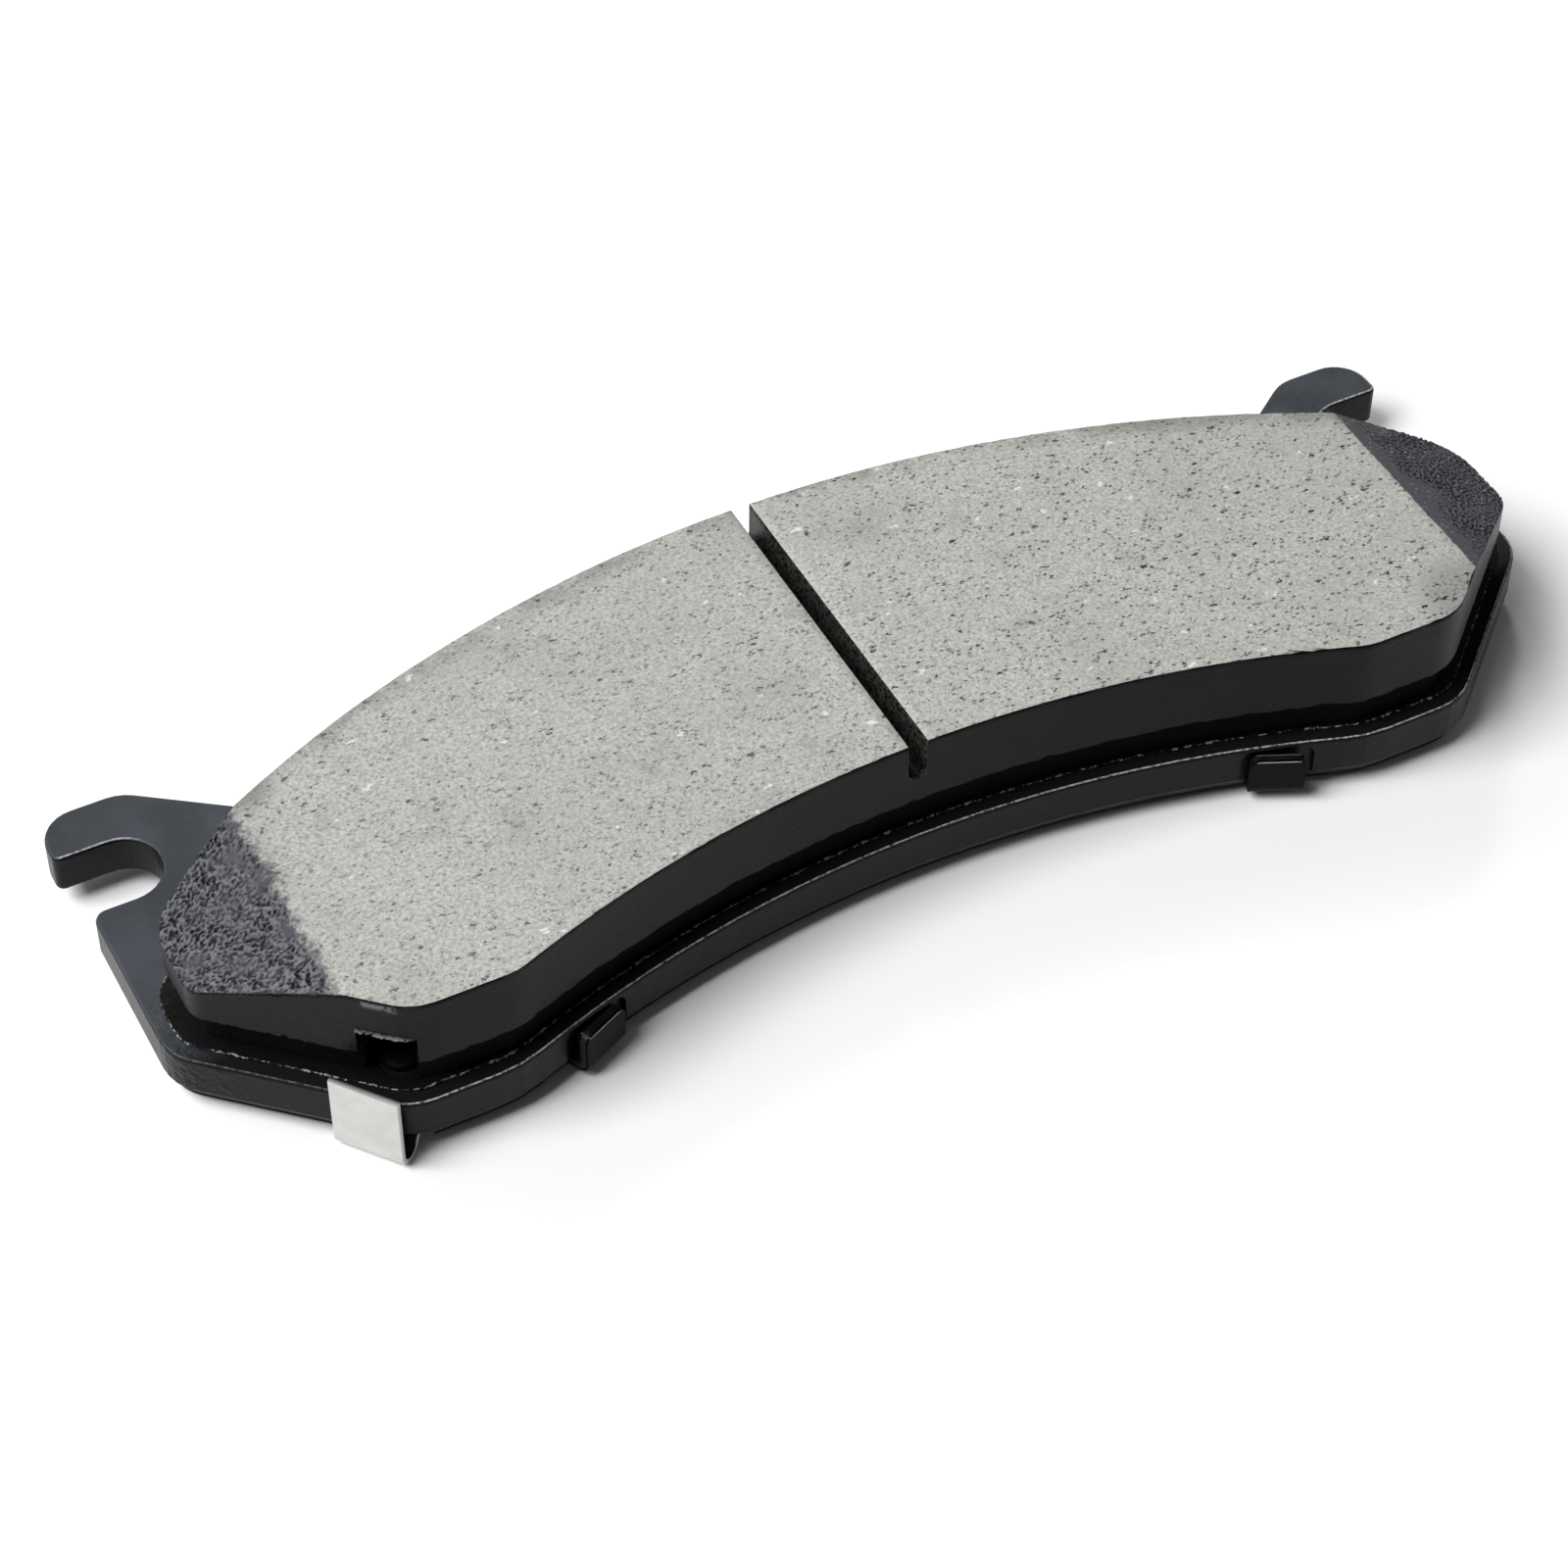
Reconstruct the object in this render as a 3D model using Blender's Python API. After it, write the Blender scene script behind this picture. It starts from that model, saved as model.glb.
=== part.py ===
"""Disc brake pad with a hooked backing plate, a slotted and chamfered friction block,
a three-layer clip-on shim and a riveted steel wear indicator.

Metres. +Z points from the caliper side to the rotor side and z = 0 is the back of the shim.
+X runs along the pad and +Y points to its outer, convex edge.
"""

import math

import bmesh
import bpy

# ---- stack of layers, caliper side first ----
SHIM_RUBBER_THICKNESS = 0.0003
SHIM_STEEL_THICKNESS = 0.0008
SHIM_ADHESIVE_THICKNESS = 0.00015
PLATE_THICKNESS = 0.0058
BOND_FILM_THICKNESS = 0.0003
UNDERLAYER_THICKNESS = 0.0049
FRICTION_THICKNESS = 0.01035
BOND_GAP = 0.0001  # between flat layers that are glued or moulded together
SEAT_GAP = 0.0003  # between formed pieces that rest on each other

# ---- friction block outline ----
FACE_HALF_LENGTH = 0.0949
FACE_WIDTH = 0.0491  # outer arc to inner arc, on the middle line
FACE_CENTRE_TO_OUTER = 0.029
OUTER_ARC_DROP = 0.0288  # how far the outer arc falls by the end of the block
INNER_ARC_DROP = 0.0111
INNER_FLAT_START = 0.0349  # from the end of the block to where the inner arc stops
DIAGONAL_RUN = 0.0214
END_WALL = 0.0118
FACE_OUTER_CORNER = 0.009
FACE_END_CORNER = 0.005
FACE_DIAGONAL_CORNER = 0.008
FACE_KINK_CORNER = 0.007
CHAMFER_RUN = 0.0149
CHAMFER_DROP = 0.0058
SLOT_WIDTH = 0.0026
SLOT_DEPTH = 0.0061
UNDERLAYER_INSET = 0.0018
BOND_FILM_MARGIN = 0.0022  # film edge inside the plate edge

# ---- backing plate outline, outside the friction block ----
PLATE_OUTER_MARGIN = 0.0018
PLATE_INNER_MARGIN = 0.0011
PLATE_FLAT_MARGIN = 0.0014
PLATE_DIAGONAL_MARGIN = 0.0024
PLATE_END_MARGIN = 0.0036
PLATE_END_CORNER = 0.007
PLATE_DIAGONAL_CORNER = 0.009
PLATE_KINK_CORNER = 0.018
PLATE_EDGE_ROUND = 0.0004

# ---- hook ears ----
EAR_ABOVE_ARC = 0.00365  # ear top above the highest point of the friction block
EAR_REACH = 0.0011  # finger tip beyond the end edge of the plate
EAR_RISE_ANGLE = math.radians(35.8)
EAR_TOP_LENGTH = 0.0117  # finger tip back to where the ear starts to fall away
EAR_SHOULDER_ROUND = 0.006
EAR_NECK_ROUND = 0.006
FINGER_WIDTH = 0.0076
FINGER_TIP_ROUND = 0.005
FINGER_LIP_ROUND = 0.0011
HOOK_SLOT_WIDTH = 0.0105
HOOK_SLOT_DEPTH = 0.01125
PRONG_ROUND = 0.0018

# ---- shim ----
SHIM_MARGIN = 0.0012  # shim edge inside the plate edge
SHIM_ADHESIVE_MARGIN = 0.0022
TAB_WIDTH = 0.0072
TAB_OFFSET = 0.0493  # tab centre from the middle line
OUTER_TAB_OFFSET = 0.040
TAB_BEND_RADIUS = 0.0002
TAB_TOP_BELOW_PLATE_TOP = 0.0012
TAB_TOP_ROUND = 0.0012
TAB_ROOT = 0.006
TAB_STANDOFF = 0.0009  # tab to the floor of its recess
TAB_TURN = math.radians(7.5)  # less tilted than the arc it stands on
TAB_RECESS_DEPTH = 0.0008
TAB_RECESS_CLEARANCE = 0.0014
TAB_RECESS_LIP = 0.0005  # plate left above the recess
TAB_RECESS_ROUND = 0.0018

# ---- wear indicator ----
STRIP_WIDTH = 0.0095
STRIP_THICKNESS = 0.0008
STRIP_TURN = math.radians(9.0)  # turned on its rivet, towards the end of the pad
STRIP_ABOVE_PLATE = 0.0034
STRIP_BELOW_SHIM = 0.0013
STRIP_FOOT_BEYOND_RIVET = 0.0045
CURL_RADIUS = 0.0017
FOOT_BEND_RADIUS = 0.001
RIVET_FROM_PLATE_EDGE = 0.0075
RIVET_ALONG_DIAGONAL = 0.0045  # from the friction block's inner corner
RIVET_RADIUS = 0.002
RIVET_HEAD_RADIUS = 0.0026
RIVET_HEAD_HEIGHT = 0.0013
RIVET_TAIL_RADIUS = 0.003
RIVET_TAIL_HEIGHT = 0.0009
RIVET_HOLE_CLEARANCE = 0.0003
FOOT_CLEARANCE = 0.0012
POCKET_CLEARANCE = 0.0007  # around the rivet head
POCKET_HEIGHT = 0.0043

# ---- smoothness ----
ARC_STEP = math.radians(1.6)  # along the long arcs
ROUND_STEP = math.radians(12.0)  # round the corners
MARGIN_FOR_CUT = 0.002  # a cutter stands this far out of what it cuts

# ---- levels worked out from the stack ----
OUTER_RUBBER_Z = 0.0
STEEL_Z = OUTER_RUBBER_Z + SHIM_RUBBER_THICKNESS + BOND_GAP
INNER_RUBBER_Z = STEEL_Z + SHIM_STEEL_THICKNESS + BOND_GAP
ADHESIVE_Z = INNER_RUBBER_Z + SHIM_RUBBER_THICKNESS + BOND_GAP
PLATE_Z = ADHESIVE_Z + SHIM_ADHESIVE_THICKNESS + BOND_GAP
PLATE_TOP = PLATE_Z + PLATE_THICKNESS
BOND_FILM_Z = PLATE_TOP + BOND_GAP
UNDERLAYER_Z = BOND_FILM_Z + BOND_FILM_THICKNESS + BOND_GAP
FRICTION_Z = UNDERLAYER_Z + UNDERLAYER_THICKNESS + BOND_GAP
FRICTION_TOP = FRICTION_Z + FRICTION_THICKNESS

# ---- places worked out from the outline ----
INNER_APEX = FACE_CENTRE_TO_OUTER - FACE_WIDTH
FLAT_Y = INNER_APEX - INNER_ARC_DROP
END_TOP_Y = FACE_CENTRE_TO_OUTER - OUTER_ARC_DROP
KINK_X = FACE_HALF_LENGTH - INNER_FLAT_START
CORNER_X = FACE_HALF_LENGTH - DIAGONAL_RUN
DIAGONAL_ANGLE = math.atan2(END_TOP_Y - END_WALL - FLAT_Y, DIAGONAL_RUN)
PLATE_END_X = FACE_HALF_LENGTH + PLATE_END_MARGIN
EAR_TOP_Y = FACE_CENTRE_TO_OUTER + EAR_ABOVE_ARC
FINGER_TIP_X = PLATE_END_X + EAR_REACH
HOOK_SLOT_TOP = EAR_TOP_Y - FINGER_WIDTH
HOOK_SLOT_FLOOR_X = PLATE_END_X - HOOK_SLOT_DEPTH


# ---- plane geometry: an outline is a list of lines and arcs, walked with the material on the left ----


def arc_radius(half_chord, drop):
    return (half_chord**2 + drop**2) / (2 * drop)


def line(x, y, angle):
    """A straight edge through (x, y) that heads along angle."""
    return ("line", x, y, math.cos(angle), math.sin(angle))


def arc(x, y, radius, turn):
    """A round edge about (x, y); turn is 1 anticlockwise and -1 clockwise."""
    return ("arc", x, y, radius, turn)


def moved_left(edge, distance):
    kind, x, y, a, b = edge
    if kind == "line":
        return (kind, x - b * distance, y + a * distance, a, b)
    return (kind, x, y, a - b * distance, b)


def crossing(first, second):
    """Where two edges meet; of two meeting points, the one further along +X."""
    if first[0] == "arc":
        first, second = second, first
    _, px, py, dx, dy = first
    if second[0] == "line":
        _, qx, qy, ex, ey = second
        along = ((qx - px) * ey - (qy - py) * ex) / (dx * ey - dy * ex)
        return (px + dx * along, py + dy * along)
    _, cx, cy, radius, _ = second
    near = (cx - px) * dx + (cy - py) * dy
    across = (cx - px) * dy - (cy - py) * dx
    half = math.sqrt(max(radius**2 - across**2, 0.0))
    ends = [(px + dx * t, py + dy * t) for t in (near - half, near + half)]
    return max(ends)


def foot_on(edge, point):
    """The nearest point of an edge."""
    kind, x, y, a, b = edge
    if kind == "line":
        along = (point[0] - x) * a + (point[1] - y) * b
        return (x + a * along, y + b * along)
    away = math.hypot(point[0] - x, point[1] - y)
    return (x + (point[0] - x) * a / away, y + (point[1] - y) * a / away)


def arc_points(centre, start, end, turn, step):
    """Points round centre from start to end, both included."""
    radius = math.hypot(start[0] - centre[0], start[1] - centre[1])
    first = math.atan2(start[1] - centre[1], start[0] - centre[0])
    last = math.atan2(end[1] - centre[1], end[0] - centre[0])
    sweep = (last - first) * turn % (2 * math.pi) * turn
    count = max(1, math.ceil(abs(sweep) / step))
    angles = [first + sweep * i / count for i in range(count + 1)]
    return [(centre[0] + radius * math.cos(a), centre[1] + radius * math.sin(a)) for a in angles]


def corner(first, second, radius):
    """Points that round the meeting of two edges; a negative radius rounds a hollow corner."""
    if radius == 0:
        return [crossing(first, second)]
    centre = crossing(moved_left(first, radius), moved_left(second, radius))
    turn = 1 if radius > 0 else -1
    return arc_points(centre, foot_on(first, centre), foot_on(second, centre), turn, ROUND_STEP)


def half_outline(edges, radii, start, end):
    """The right-hand half of an outline, from start to end on the middle line."""
    points = [start]
    for index, radius in enumerate(radii):
        rounded = corner(edges[index], edges[index + 1], radius)
        points += edge_run(edges[index], points[-1], rounded[0])
        points += rounded
    points += edge_run(edges[-1], points[-1], end)
    return points + [end]


def edge_run(edge, start, end):
    """The points strictly between start and end on an edge; none on a straight one."""
    if edge[0] == "line":
        return []
    return arc_points(edge[1:3], start, end, edge[4], ARC_STEP)[1:-1]


def mirrored(half):
    """A whole outline, anticlockwise, from its right-hand half walked from bottom to top."""
    return half + [(-x, y) for x, y in reversed(half[1:-1])]


def inset_edges(edges, inset):
    return [moved_left(edge, inset) for edge in edges]


def face_edges():
    """Edges of the right-hand half of the friction block, from its inner to its outer arc."""
    inner = arc_radius(KINK_X, INNER_ARC_DROP)
    outer = arc_radius(FACE_HALF_LENGTH, OUTER_ARC_DROP)
    return [
        arc(0, INNER_APEX - inner, inner, -1),
        line(KINK_X, FLAT_Y, 0),
        line(CORNER_X, FLAT_Y, DIAGONAL_ANGLE),
        line(FACE_HALF_LENGTH, 0, math.pi / 2),
        arc(0, FACE_CENTRE_TO_OUTER - outer, outer, 1),
    ]


def face_outline(inset=0.0):
    wall = min(1.0, END_WALL / (FACE_OUTER_CORNER + FACE_END_CORNER))
    radii = [
        FACE_KINK_CORNER - inset,
        FACE_DIAGONAL_CORNER - inset,
        FACE_END_CORNER * wall - inset,
        FACE_OUTER_CORNER * wall - inset,
    ]
    edges = inset_edges(face_edges(), inset)
    start, end = (0, INNER_APEX + inset), (0, FACE_CENTRE_TO_OUTER - inset)
    return mirrored(half_outline(edges, radii, start, end))


def plate_edges():
    """Edges of the right-hand half of the plate's body, without its ear."""
    inner, flat, diagonal, end, outer = face_edges()
    margins = (
        PLATE_INNER_MARGIN,
        PLATE_FLAT_MARGIN,
        PLATE_DIAGONAL_MARGIN,
        PLATE_END_MARGIN,
        PLATE_OUTER_MARGIN,
    )
    return [moved_left(edge, -m) for edge, m in zip((inner, flat, diagonal, end, outer), margins)]


def plate_outline():
    inner, flat, diagonal, end, outer = plate_edges()
    shoulder_x = FINGER_TIP_X - EAR_TOP_LENGTH
    edges = [
        inner,
        flat,
        diagonal,
        end,
        line(0, HOOK_SLOT_TOP - HOOK_SLOT_WIDTH, math.pi),
        line(HOOK_SLOT_FLOOR_X, 0, math.pi / 2),
        line(0, HOOK_SLOT_TOP, 0),
        line(FINGER_TIP_X, 0, math.pi / 2),
        line(0, EAR_TOP_Y, math.pi),
        line(shoulder_x, EAR_TOP_Y, math.pi + EAR_RISE_ANGLE),
        outer,
    ]
    radii = [
        PLATE_KINK_CORNER,
        PLATE_DIAGONAL_CORNER,
        PLATE_END_CORNER,
        PRONG_ROUND,
        -HOOK_SLOT_WIDTH / 2,
        -HOOK_SLOT_WIDTH / 2,
        FINGER_LIP_ROUND,
        FINGER_TIP_ROUND,
        EAR_SHOULDER_ROUND,
        -EAR_NECK_ROUND,
    ]
    start = (0, INNER_APEX - PLATE_INNER_MARGIN)
    end = (0, FACE_CENTRE_TO_OUTER + PLATE_OUTER_MARGIN)
    return mirrored(half_outline(edges, radii, start, end))


def body_outline(margin):
    """The plate's body without its ears, margin inside its edge."""
    radii = [
        PLATE_KINK_CORNER - margin,
        PLATE_DIAGONAL_CORNER - margin,
        PLATE_END_CORNER - margin,
        FACE_OUTER_CORNER - margin,
    ]
    edges = inset_edges(plate_edges(), margin)
    start = (0, INNER_APEX - PLATE_INNER_MARGIN + margin)
    end = (0, FACE_CENTRE_TO_OUTER + PLATE_OUTER_MARGIN - margin)
    return mirrored(half_outline(edges, radii, start, end))


# ---- solids ----


def clear_scene():
    for obj in list(bpy.data.objects):
        bpy.data.objects.remove(obj)


def material(name, colour, roughness, metallic):
    made = bpy.data.materials.new(name)
    made.use_nodes = True
    shader = made.node_tree.nodes["Principled BSDF"]
    shader.inputs["Base Color"].default_value = (*colour, 1.0)
    shader.inputs["Roughness"].default_value = roughness
    shader.inputs["Metallic"].default_value = metallic
    return made


def add_object(name, mesh, paint=None):
    obj = bpy.data.objects.new(name, mesh)
    bpy.context.scene.collection.objects.link(obj)
    if paint:
        mesh.materials.append(paint)
    return obj


def extruded(name, outline, low, high, paint=None, axes="xyz"):
    """A prism: the outline's two coordinates and low..high lie along the three axes named."""
    place = [axes.index(axis) for axis in "xyz"]
    made = bmesh.new()
    bottom = [made.verts.new([(u, v, low)[i] for i in place]) for u, v in outline]
    face = made.faces.new(bottom)
    lifted = bmesh.ops.extrude_face_region(made, geom=[face])["geom"]
    step = [(0, 0, high - low)[i] for i in place]
    bmesh.ops.translate(made, vec=step, verts=[v for v in lifted if isinstance(v, bmesh.types.BMVert)])
    bmesh.ops.recalc_face_normals(made, faces=made.faces)
    mesh = bpy.data.meshes.new(name)
    made.to_mesh(mesh)
    made.free()
    return add_object(name, mesh, paint)


def turned(name, profile, paint=None, segments=32):
    """A solid turned about Z from (radius, z) points that start and end on the axis."""
    made = bmesh.new()
    points = [made.verts.new((r, 0, z)) for r, z in profile]
    rim = [made.edges.new(pair) for pair in zip(points, points[1:])]
    bmesh.ops.spin(
        made,
        geom=points + rim,
        cent=(0, 0, 0),
        axis=(0, 0, 1),
        angle=2 * math.pi,
        steps=segments,
        use_merge=True,
    )
    bmesh.ops.remove_doubles(made, verts=made.verts, dist=1e-7)
    bmesh.ops.recalc_face_normals(made, faces=made.faces)
    mesh = bpy.data.meshes.new(name)
    made.to_mesh(mesh)
    made.free()
    return add_object(name, mesh, paint)


def as_tool(obj):
    """Marks an object that only shapes another one."""
    obj.hide_render = True
    obj.display_type = "WIRE"
    return obj


def combine(obj, tool, operation="DIFFERENCE"):
    step = obj.modifiers.new(tool.name, "BOOLEAN")
    step.operation = operation
    step.solver = "EXACT"
    step.object = as_tool(tool)


def smooth_round(obj, angle=math.radians(30)):
    obj.data.shade_smooth()
    obj.data.set_sharp_from_angle(angle=angle)


# ---- where the wear indicator sits: on the diagonal edge of the -X end ----


def indicator_place():
    """Rivet centre and the heading of the strip, from the rivet out over the plate's edge."""
    along = (-math.cos(DIAGONAL_ANGLE), math.sin(DIAGONAL_ANGLE))
    outward = (-math.sin(DIAGONAL_ANGLE), -math.cos(DIAGONAL_ANGLE))
    inside = RIVET_FROM_PLATE_EDGE - PLATE_DIAGONAL_MARGIN
    x = -CORNER_X + along[0] * RIVET_ALONG_DIAGONAL - outward[0] * inside
    y = FLAT_Y + along[1] * RIVET_ALONG_DIAGONAL - outward[1] * inside
    heading = math.atan2(outward[1], outward[0])
    return x, y, heading


def at_indicator(obj, turn=0.0):
    x, y, heading = indicator_place()
    obj.location = (x, y, 0)
    obj.rotation_euler = (0, 0, heading + turn)
    return obj


def rivet_pocket(name, low, high):
    """A cutter round the rivet head, open to the friction block's diagonal wall."""
    radius = RIVET_HEAD_RADIUS + POCKET_CLEARANCE
    mouth = RIVET_FROM_PLATE_EDGE + MARGIN_FOR_CUT
    round_end = arc_points((0, 0), (0, radius), (0, -radius), 1, ROUND_STEP)
    return at_indicator(extruded(name, [(mouth, radius)] + round_end + [(mouth, -radius)], low, high))


def foot_opening(name, low, high):
    """A cutter that clears the strip's foot out of a shim layer."""
    half = STRIP_WIDTH / 2 + FOOT_CLEARANCE
    back = -STRIP_FOOT_BEYOND_RIVET - FOOT_CLEARANCE
    mouth = RIVET_FROM_PLATE_EDGE + STRIP_WIDTH
    outline = [(back, -half), (mouth, -half), (mouth, half), (back, half)]
    return at_indicator(extruded(name, outline, low, high), -STRIP_TURN)


# ---- the pieces ----


def make_friction_block(paint):
    block = extruded("friction_block", face_outline(), FRICTION_Z, FRICTION_TOP, paint)
    reach = FACE_WIDTH + INNER_ARC_DROP + OUTER_ARC_DROP
    over = MARGIN_FOR_CUT
    slope = CHAMFER_DROP / CHAMFER_RUN
    for side, word in ((1, "right"), (-1, "left")):
        start = FACE_HALF_LENGTH - CHAMFER_RUN
        wedge = [
            (side * (start - over), FRICTION_TOP + over * slope),
            (side * (FACE_HALF_LENGTH + over), FRICTION_TOP - CHAMFER_DROP - over * slope),
            (side * (FACE_HALF_LENGTH + over), FRICTION_TOP + over * slope),
        ]
        combine(block, extruded(f"{word}_chamfer_tool", wedge, -reach, reach, axes="xzy"))
    radius = SLOT_WIDTH / 2
    floor = FRICTION_TOP - SLOT_DEPTH + radius
    groove = arc_points((0, floor), (-radius, floor), (radius, floor), 1, ROUND_STEP)
    groove += [(radius, FRICTION_TOP + over), (-radius, FRICTION_TOP + over)]
    combine(block, extruded("slot_tool", groove, -reach, reach, axes="xzy"))
    combine(block, rivet_pocket("block_pocket_tool", FRICTION_Z - over, FRICTION_Z + POCKET_HEIGHT))
    return block


def make_underlayer(paint):
    top = UNDERLAYER_Z + UNDERLAYER_THICKNESS
    layer = extruded("underlayer", face_outline(UNDERLAYER_INSET), UNDERLAYER_Z, top, paint)
    low = UNDERLAYER_Z - MARGIN_FOR_CUT
    combine(layer, rivet_pocket("underlayer_pocket_tool", low, top + MARGIN_FOR_CUT))
    return layer


def make_bond_film(paint):
    top = BOND_FILM_Z + BOND_FILM_THICKNESS
    film = extruded("bond_film", body_outline(BOND_FILM_MARGIN), BOND_FILM_Z, top, paint)
    hole = RIVET_HEAD_RADIUS + POCKET_CLEARANCE
    low, high = BOND_FILM_Z - MARGIN_FOR_CUT, top + MARGIN_FOR_CUT
    combine(film, at_indicator(turned("film_hole_tool", [(0, low), (hole, low), (hole, high), (0, high)])))
    return film


def tab_places():
    """Each shim tab's name, its foot on the plate's edge and the heading out over that edge."""
    inner, _, _, _, outer = plate_edges()
    places = []
    for side, word in ((1, "right"), (-1, "left")):
        for edge, offset, row in ((inner, TAB_OFFSET, "inner"), (outer, OUTER_TAB_OFFSET, "outer")):
            _, cx, cy, radius, turn = edge
            y = cy + math.sqrt(radius**2 - offset**2)
            heading = math.atan2(y - cy, side * offset - cx) + (math.pi if turn < 0 else 0)
            places.append((f"{word}_{row}", side * offset, y, heading))
    return places


def at_tab(obj, place, turn=0.0):
    _, x, y, heading = place
    obj.location = (x, y, 0)
    obj.rotation_euler = (0, 0, heading + turn)
    return obj


def make_backing_plate(paint):
    plate = extruded("backing_plate", plate_outline(), PLATE_Z, PLATE_TOP, paint)
    rounding = plate.modifiers.new("edge_round", "BEVEL")
    rounding.width = PLATE_EDGE_ROUND
    rounding.segments = 2
    rounding.limit_method = "ANGLE"
    rounding.angle_limit = math.radians(60)
    hole = RIVET_RADIUS + RIVET_HOLE_CLEARANCE
    low, high = PLATE_Z - MARGIN_FOR_CUT, PLATE_TOP + MARGIN_FOR_CUT
    combine(plate, at_indicator(turned("plate_hole_tool", [(0, low), (hole, low), (hole, high), (0, high)])))
    half = TAB_WIDTH / 2 + TAB_RECESS_CLEARANCE
    ceiling = PLATE_TOP - TAB_RECESS_LIP
    r = TAB_RECESS_ROUND
    window = [(-half, low), (half, low)]
    window += arc_points((half - r, ceiling - r), (half, ceiling - r), (half - r, ceiling), 1, ROUND_STEP)
    window += arc_points((r - half, ceiling - r), (r - half, ceiling), (-half, ceiling - r), 1, ROUND_STEP)
    for place in tab_places():
        # the outline lies in the local YZ plane and the cut runs inwards from outside the edge
        tool = extruded(f"{place[0]}_recess_tool", window, -TAB_RECESS_DEPTH, MARGIN_FOR_CUT, axes="yzx")
        combine(plate, at_tab(tool, place))
    return plate


def tab_leg(name, low, thickness, bend):
    """One shim layer's tab: a root under the plate, a bend of inner radius bend and an upright leg."""
    inner_face = TAB_STANDOFF - TAB_RECESS_DEPTH
    leg = inner_face + bend - TAB_BEND_RADIUS
    centre = (leg - bend, low + thickness + bend)
    top = PLATE_TOP - TAB_TOP_BELOW_PLATE_TOP
    outer = arc_points(centre, (centre[0], low), (leg + thickness, centre[1]), 1, ROUND_STEP)
    inner = arc_points(centre, (leg, centre[1]), (centre[0], low + thickness), -1, ROUND_STEP)
    profile = [(-TAB_ROOT, low)] + outer + [(leg + thickness, top), (leg, top)]
    profile += inner + [(-TAB_ROOT, low + thickness)]
    tab = extruded(name, profile, -TAB_WIDTH / 2, TAB_WIDTH / 2, axes="xzy")
    round_top_corners(tab, top)
    return tab


def round_top_corners(tab, top):
    """Rounds the two short edges that run through the tab's thickness at its upper end."""
    made = bmesh.new()
    made.from_mesh(tab.data)
    upper = [edge for edge in made.edges if all(abs(v.co.z - top) < 1e-6 for v in edge.verts)]
    short = [edge for edge in upper if abs(edge.verts[0].co.y - edge.verts[1].co.y) < 1e-6]
    bmesh.ops.bevel(made, geom=short, offset=TAB_TOP_ROUND, segments=4, profile=0.5, affect="EDGES")
    made.to_mesh(tab.data)
    made.free()


def make_shim_layer(name, low, thickness, paint):
    """A shim layer with its four tabs; the tabs of all layers nest in one bend."""
    layer = extruded(name, body_outline(SHIM_MARGIN), low, low + thickness, paint)
    bend = TAB_BEND_RADIUS + INNER_RUBBER_Z + SHIM_RUBBER_THICKNESS - low - thickness
    for place in tab_places():
        turn = math.copysign(TAB_TURN, place[1] * math.sin(place[3]))
        tab = at_tab(tab_leg(f"{name}_{place[0]}_tab", low, thickness, bend), place, turn)
        combine(layer, tab, "UNION")
    over = MARGIN_FOR_CUT
    combine(layer, foot_opening(f"{name}_foot_tool", low - over, low + thickness + over))
    return layer


def make_shim_adhesive(paint):
    top = ADHESIVE_Z + SHIM_ADHESIVE_THICKNESS
    film = extruded("shim_adhesive", body_outline(SHIM_ADHESIVE_MARGIN), ADHESIVE_Z, top, paint)
    combine(film, foot_opening("adhesive_foot_tool", ADHESIVE_Z - MARGIN_FOR_CUT, top + MARGIN_FOR_CUT))
    return film


def strip_path():
    """Middle line of the strip as (point, heading) pairs: foot, dip, curl and upright leg."""
    half = STRIP_THICKNESS / 2
    foot_z = PLATE_Z - SEAT_GAP - half
    lowest = half - STRIP_BELOW_SHIM
    dip = math.acos(1 - (foot_z - lowest) / (CURL_RADIUS + FOOT_BEND_RADIUS))
    swing = STRIP_WIDTH / 2 * math.tan(STRIP_TURN)
    leg_u = RIVET_FROM_PLATE_EDGE / math.cos(STRIP_TURN) + swing + SEAT_GAP + half
    curl_u = leg_u - CURL_RADIUS
    bend_u = curl_u - (CURL_RADIUS + FOOT_BEND_RADIUS) * math.sin(dip)
    path = [((-STRIP_FOOT_BEYOND_RIVET, foot_z), 0.0)]
    count = math.ceil(dip / ROUND_STEP)
    for i in range(count + 1):
        a = dip * i / count
        u = bend_u + FOOT_BEND_RADIUS * math.sin(a)
        path.append(((u, foot_z - FOOT_BEND_RADIUS * (1 - math.cos(a))), -a))
    curl_z = lowest + CURL_RADIUS
    sweep = dip + math.pi / 2
    count = math.ceil(sweep / ROUND_STEP)
    for i in range(1, count + 1):
        a = -dip + sweep * i / count
        path.append(((curl_u + CURL_RADIUS * math.sin(a), curl_z - CURL_RADIUS * math.cos(a)), a))
    path.append(((leg_u, PLATE_TOP + STRIP_ABOVE_PLATE), math.pi / 2))
    return path


def make_wear_indicator(paint):
    half = STRIP_THICKNESS / 2
    below = [(u + half * math.sin(a), z - half * math.cos(a)) for (u, z), a in strip_path()]
    above = [(u - half * math.sin(a), z + half * math.cos(a)) for (u, z), a in strip_path()]
    width = STRIP_WIDTH / 2
    strip = extruded("wear_indicator", below + above[::-1], -width, width, paint, axes="xzy")
    hole = RIVET_RADIUS + RIVET_HOLE_CLEARANCE
    low, high = -MARGIN_FOR_CUT, PLATE_Z + MARGIN_FOR_CUT
    combine(strip, at_indicator(turned("strip_hole_tool", [(0, low), (hole, low), (hole, high), (0, high)])))
    return at_indicator(strip, -STRIP_TURN)


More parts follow.
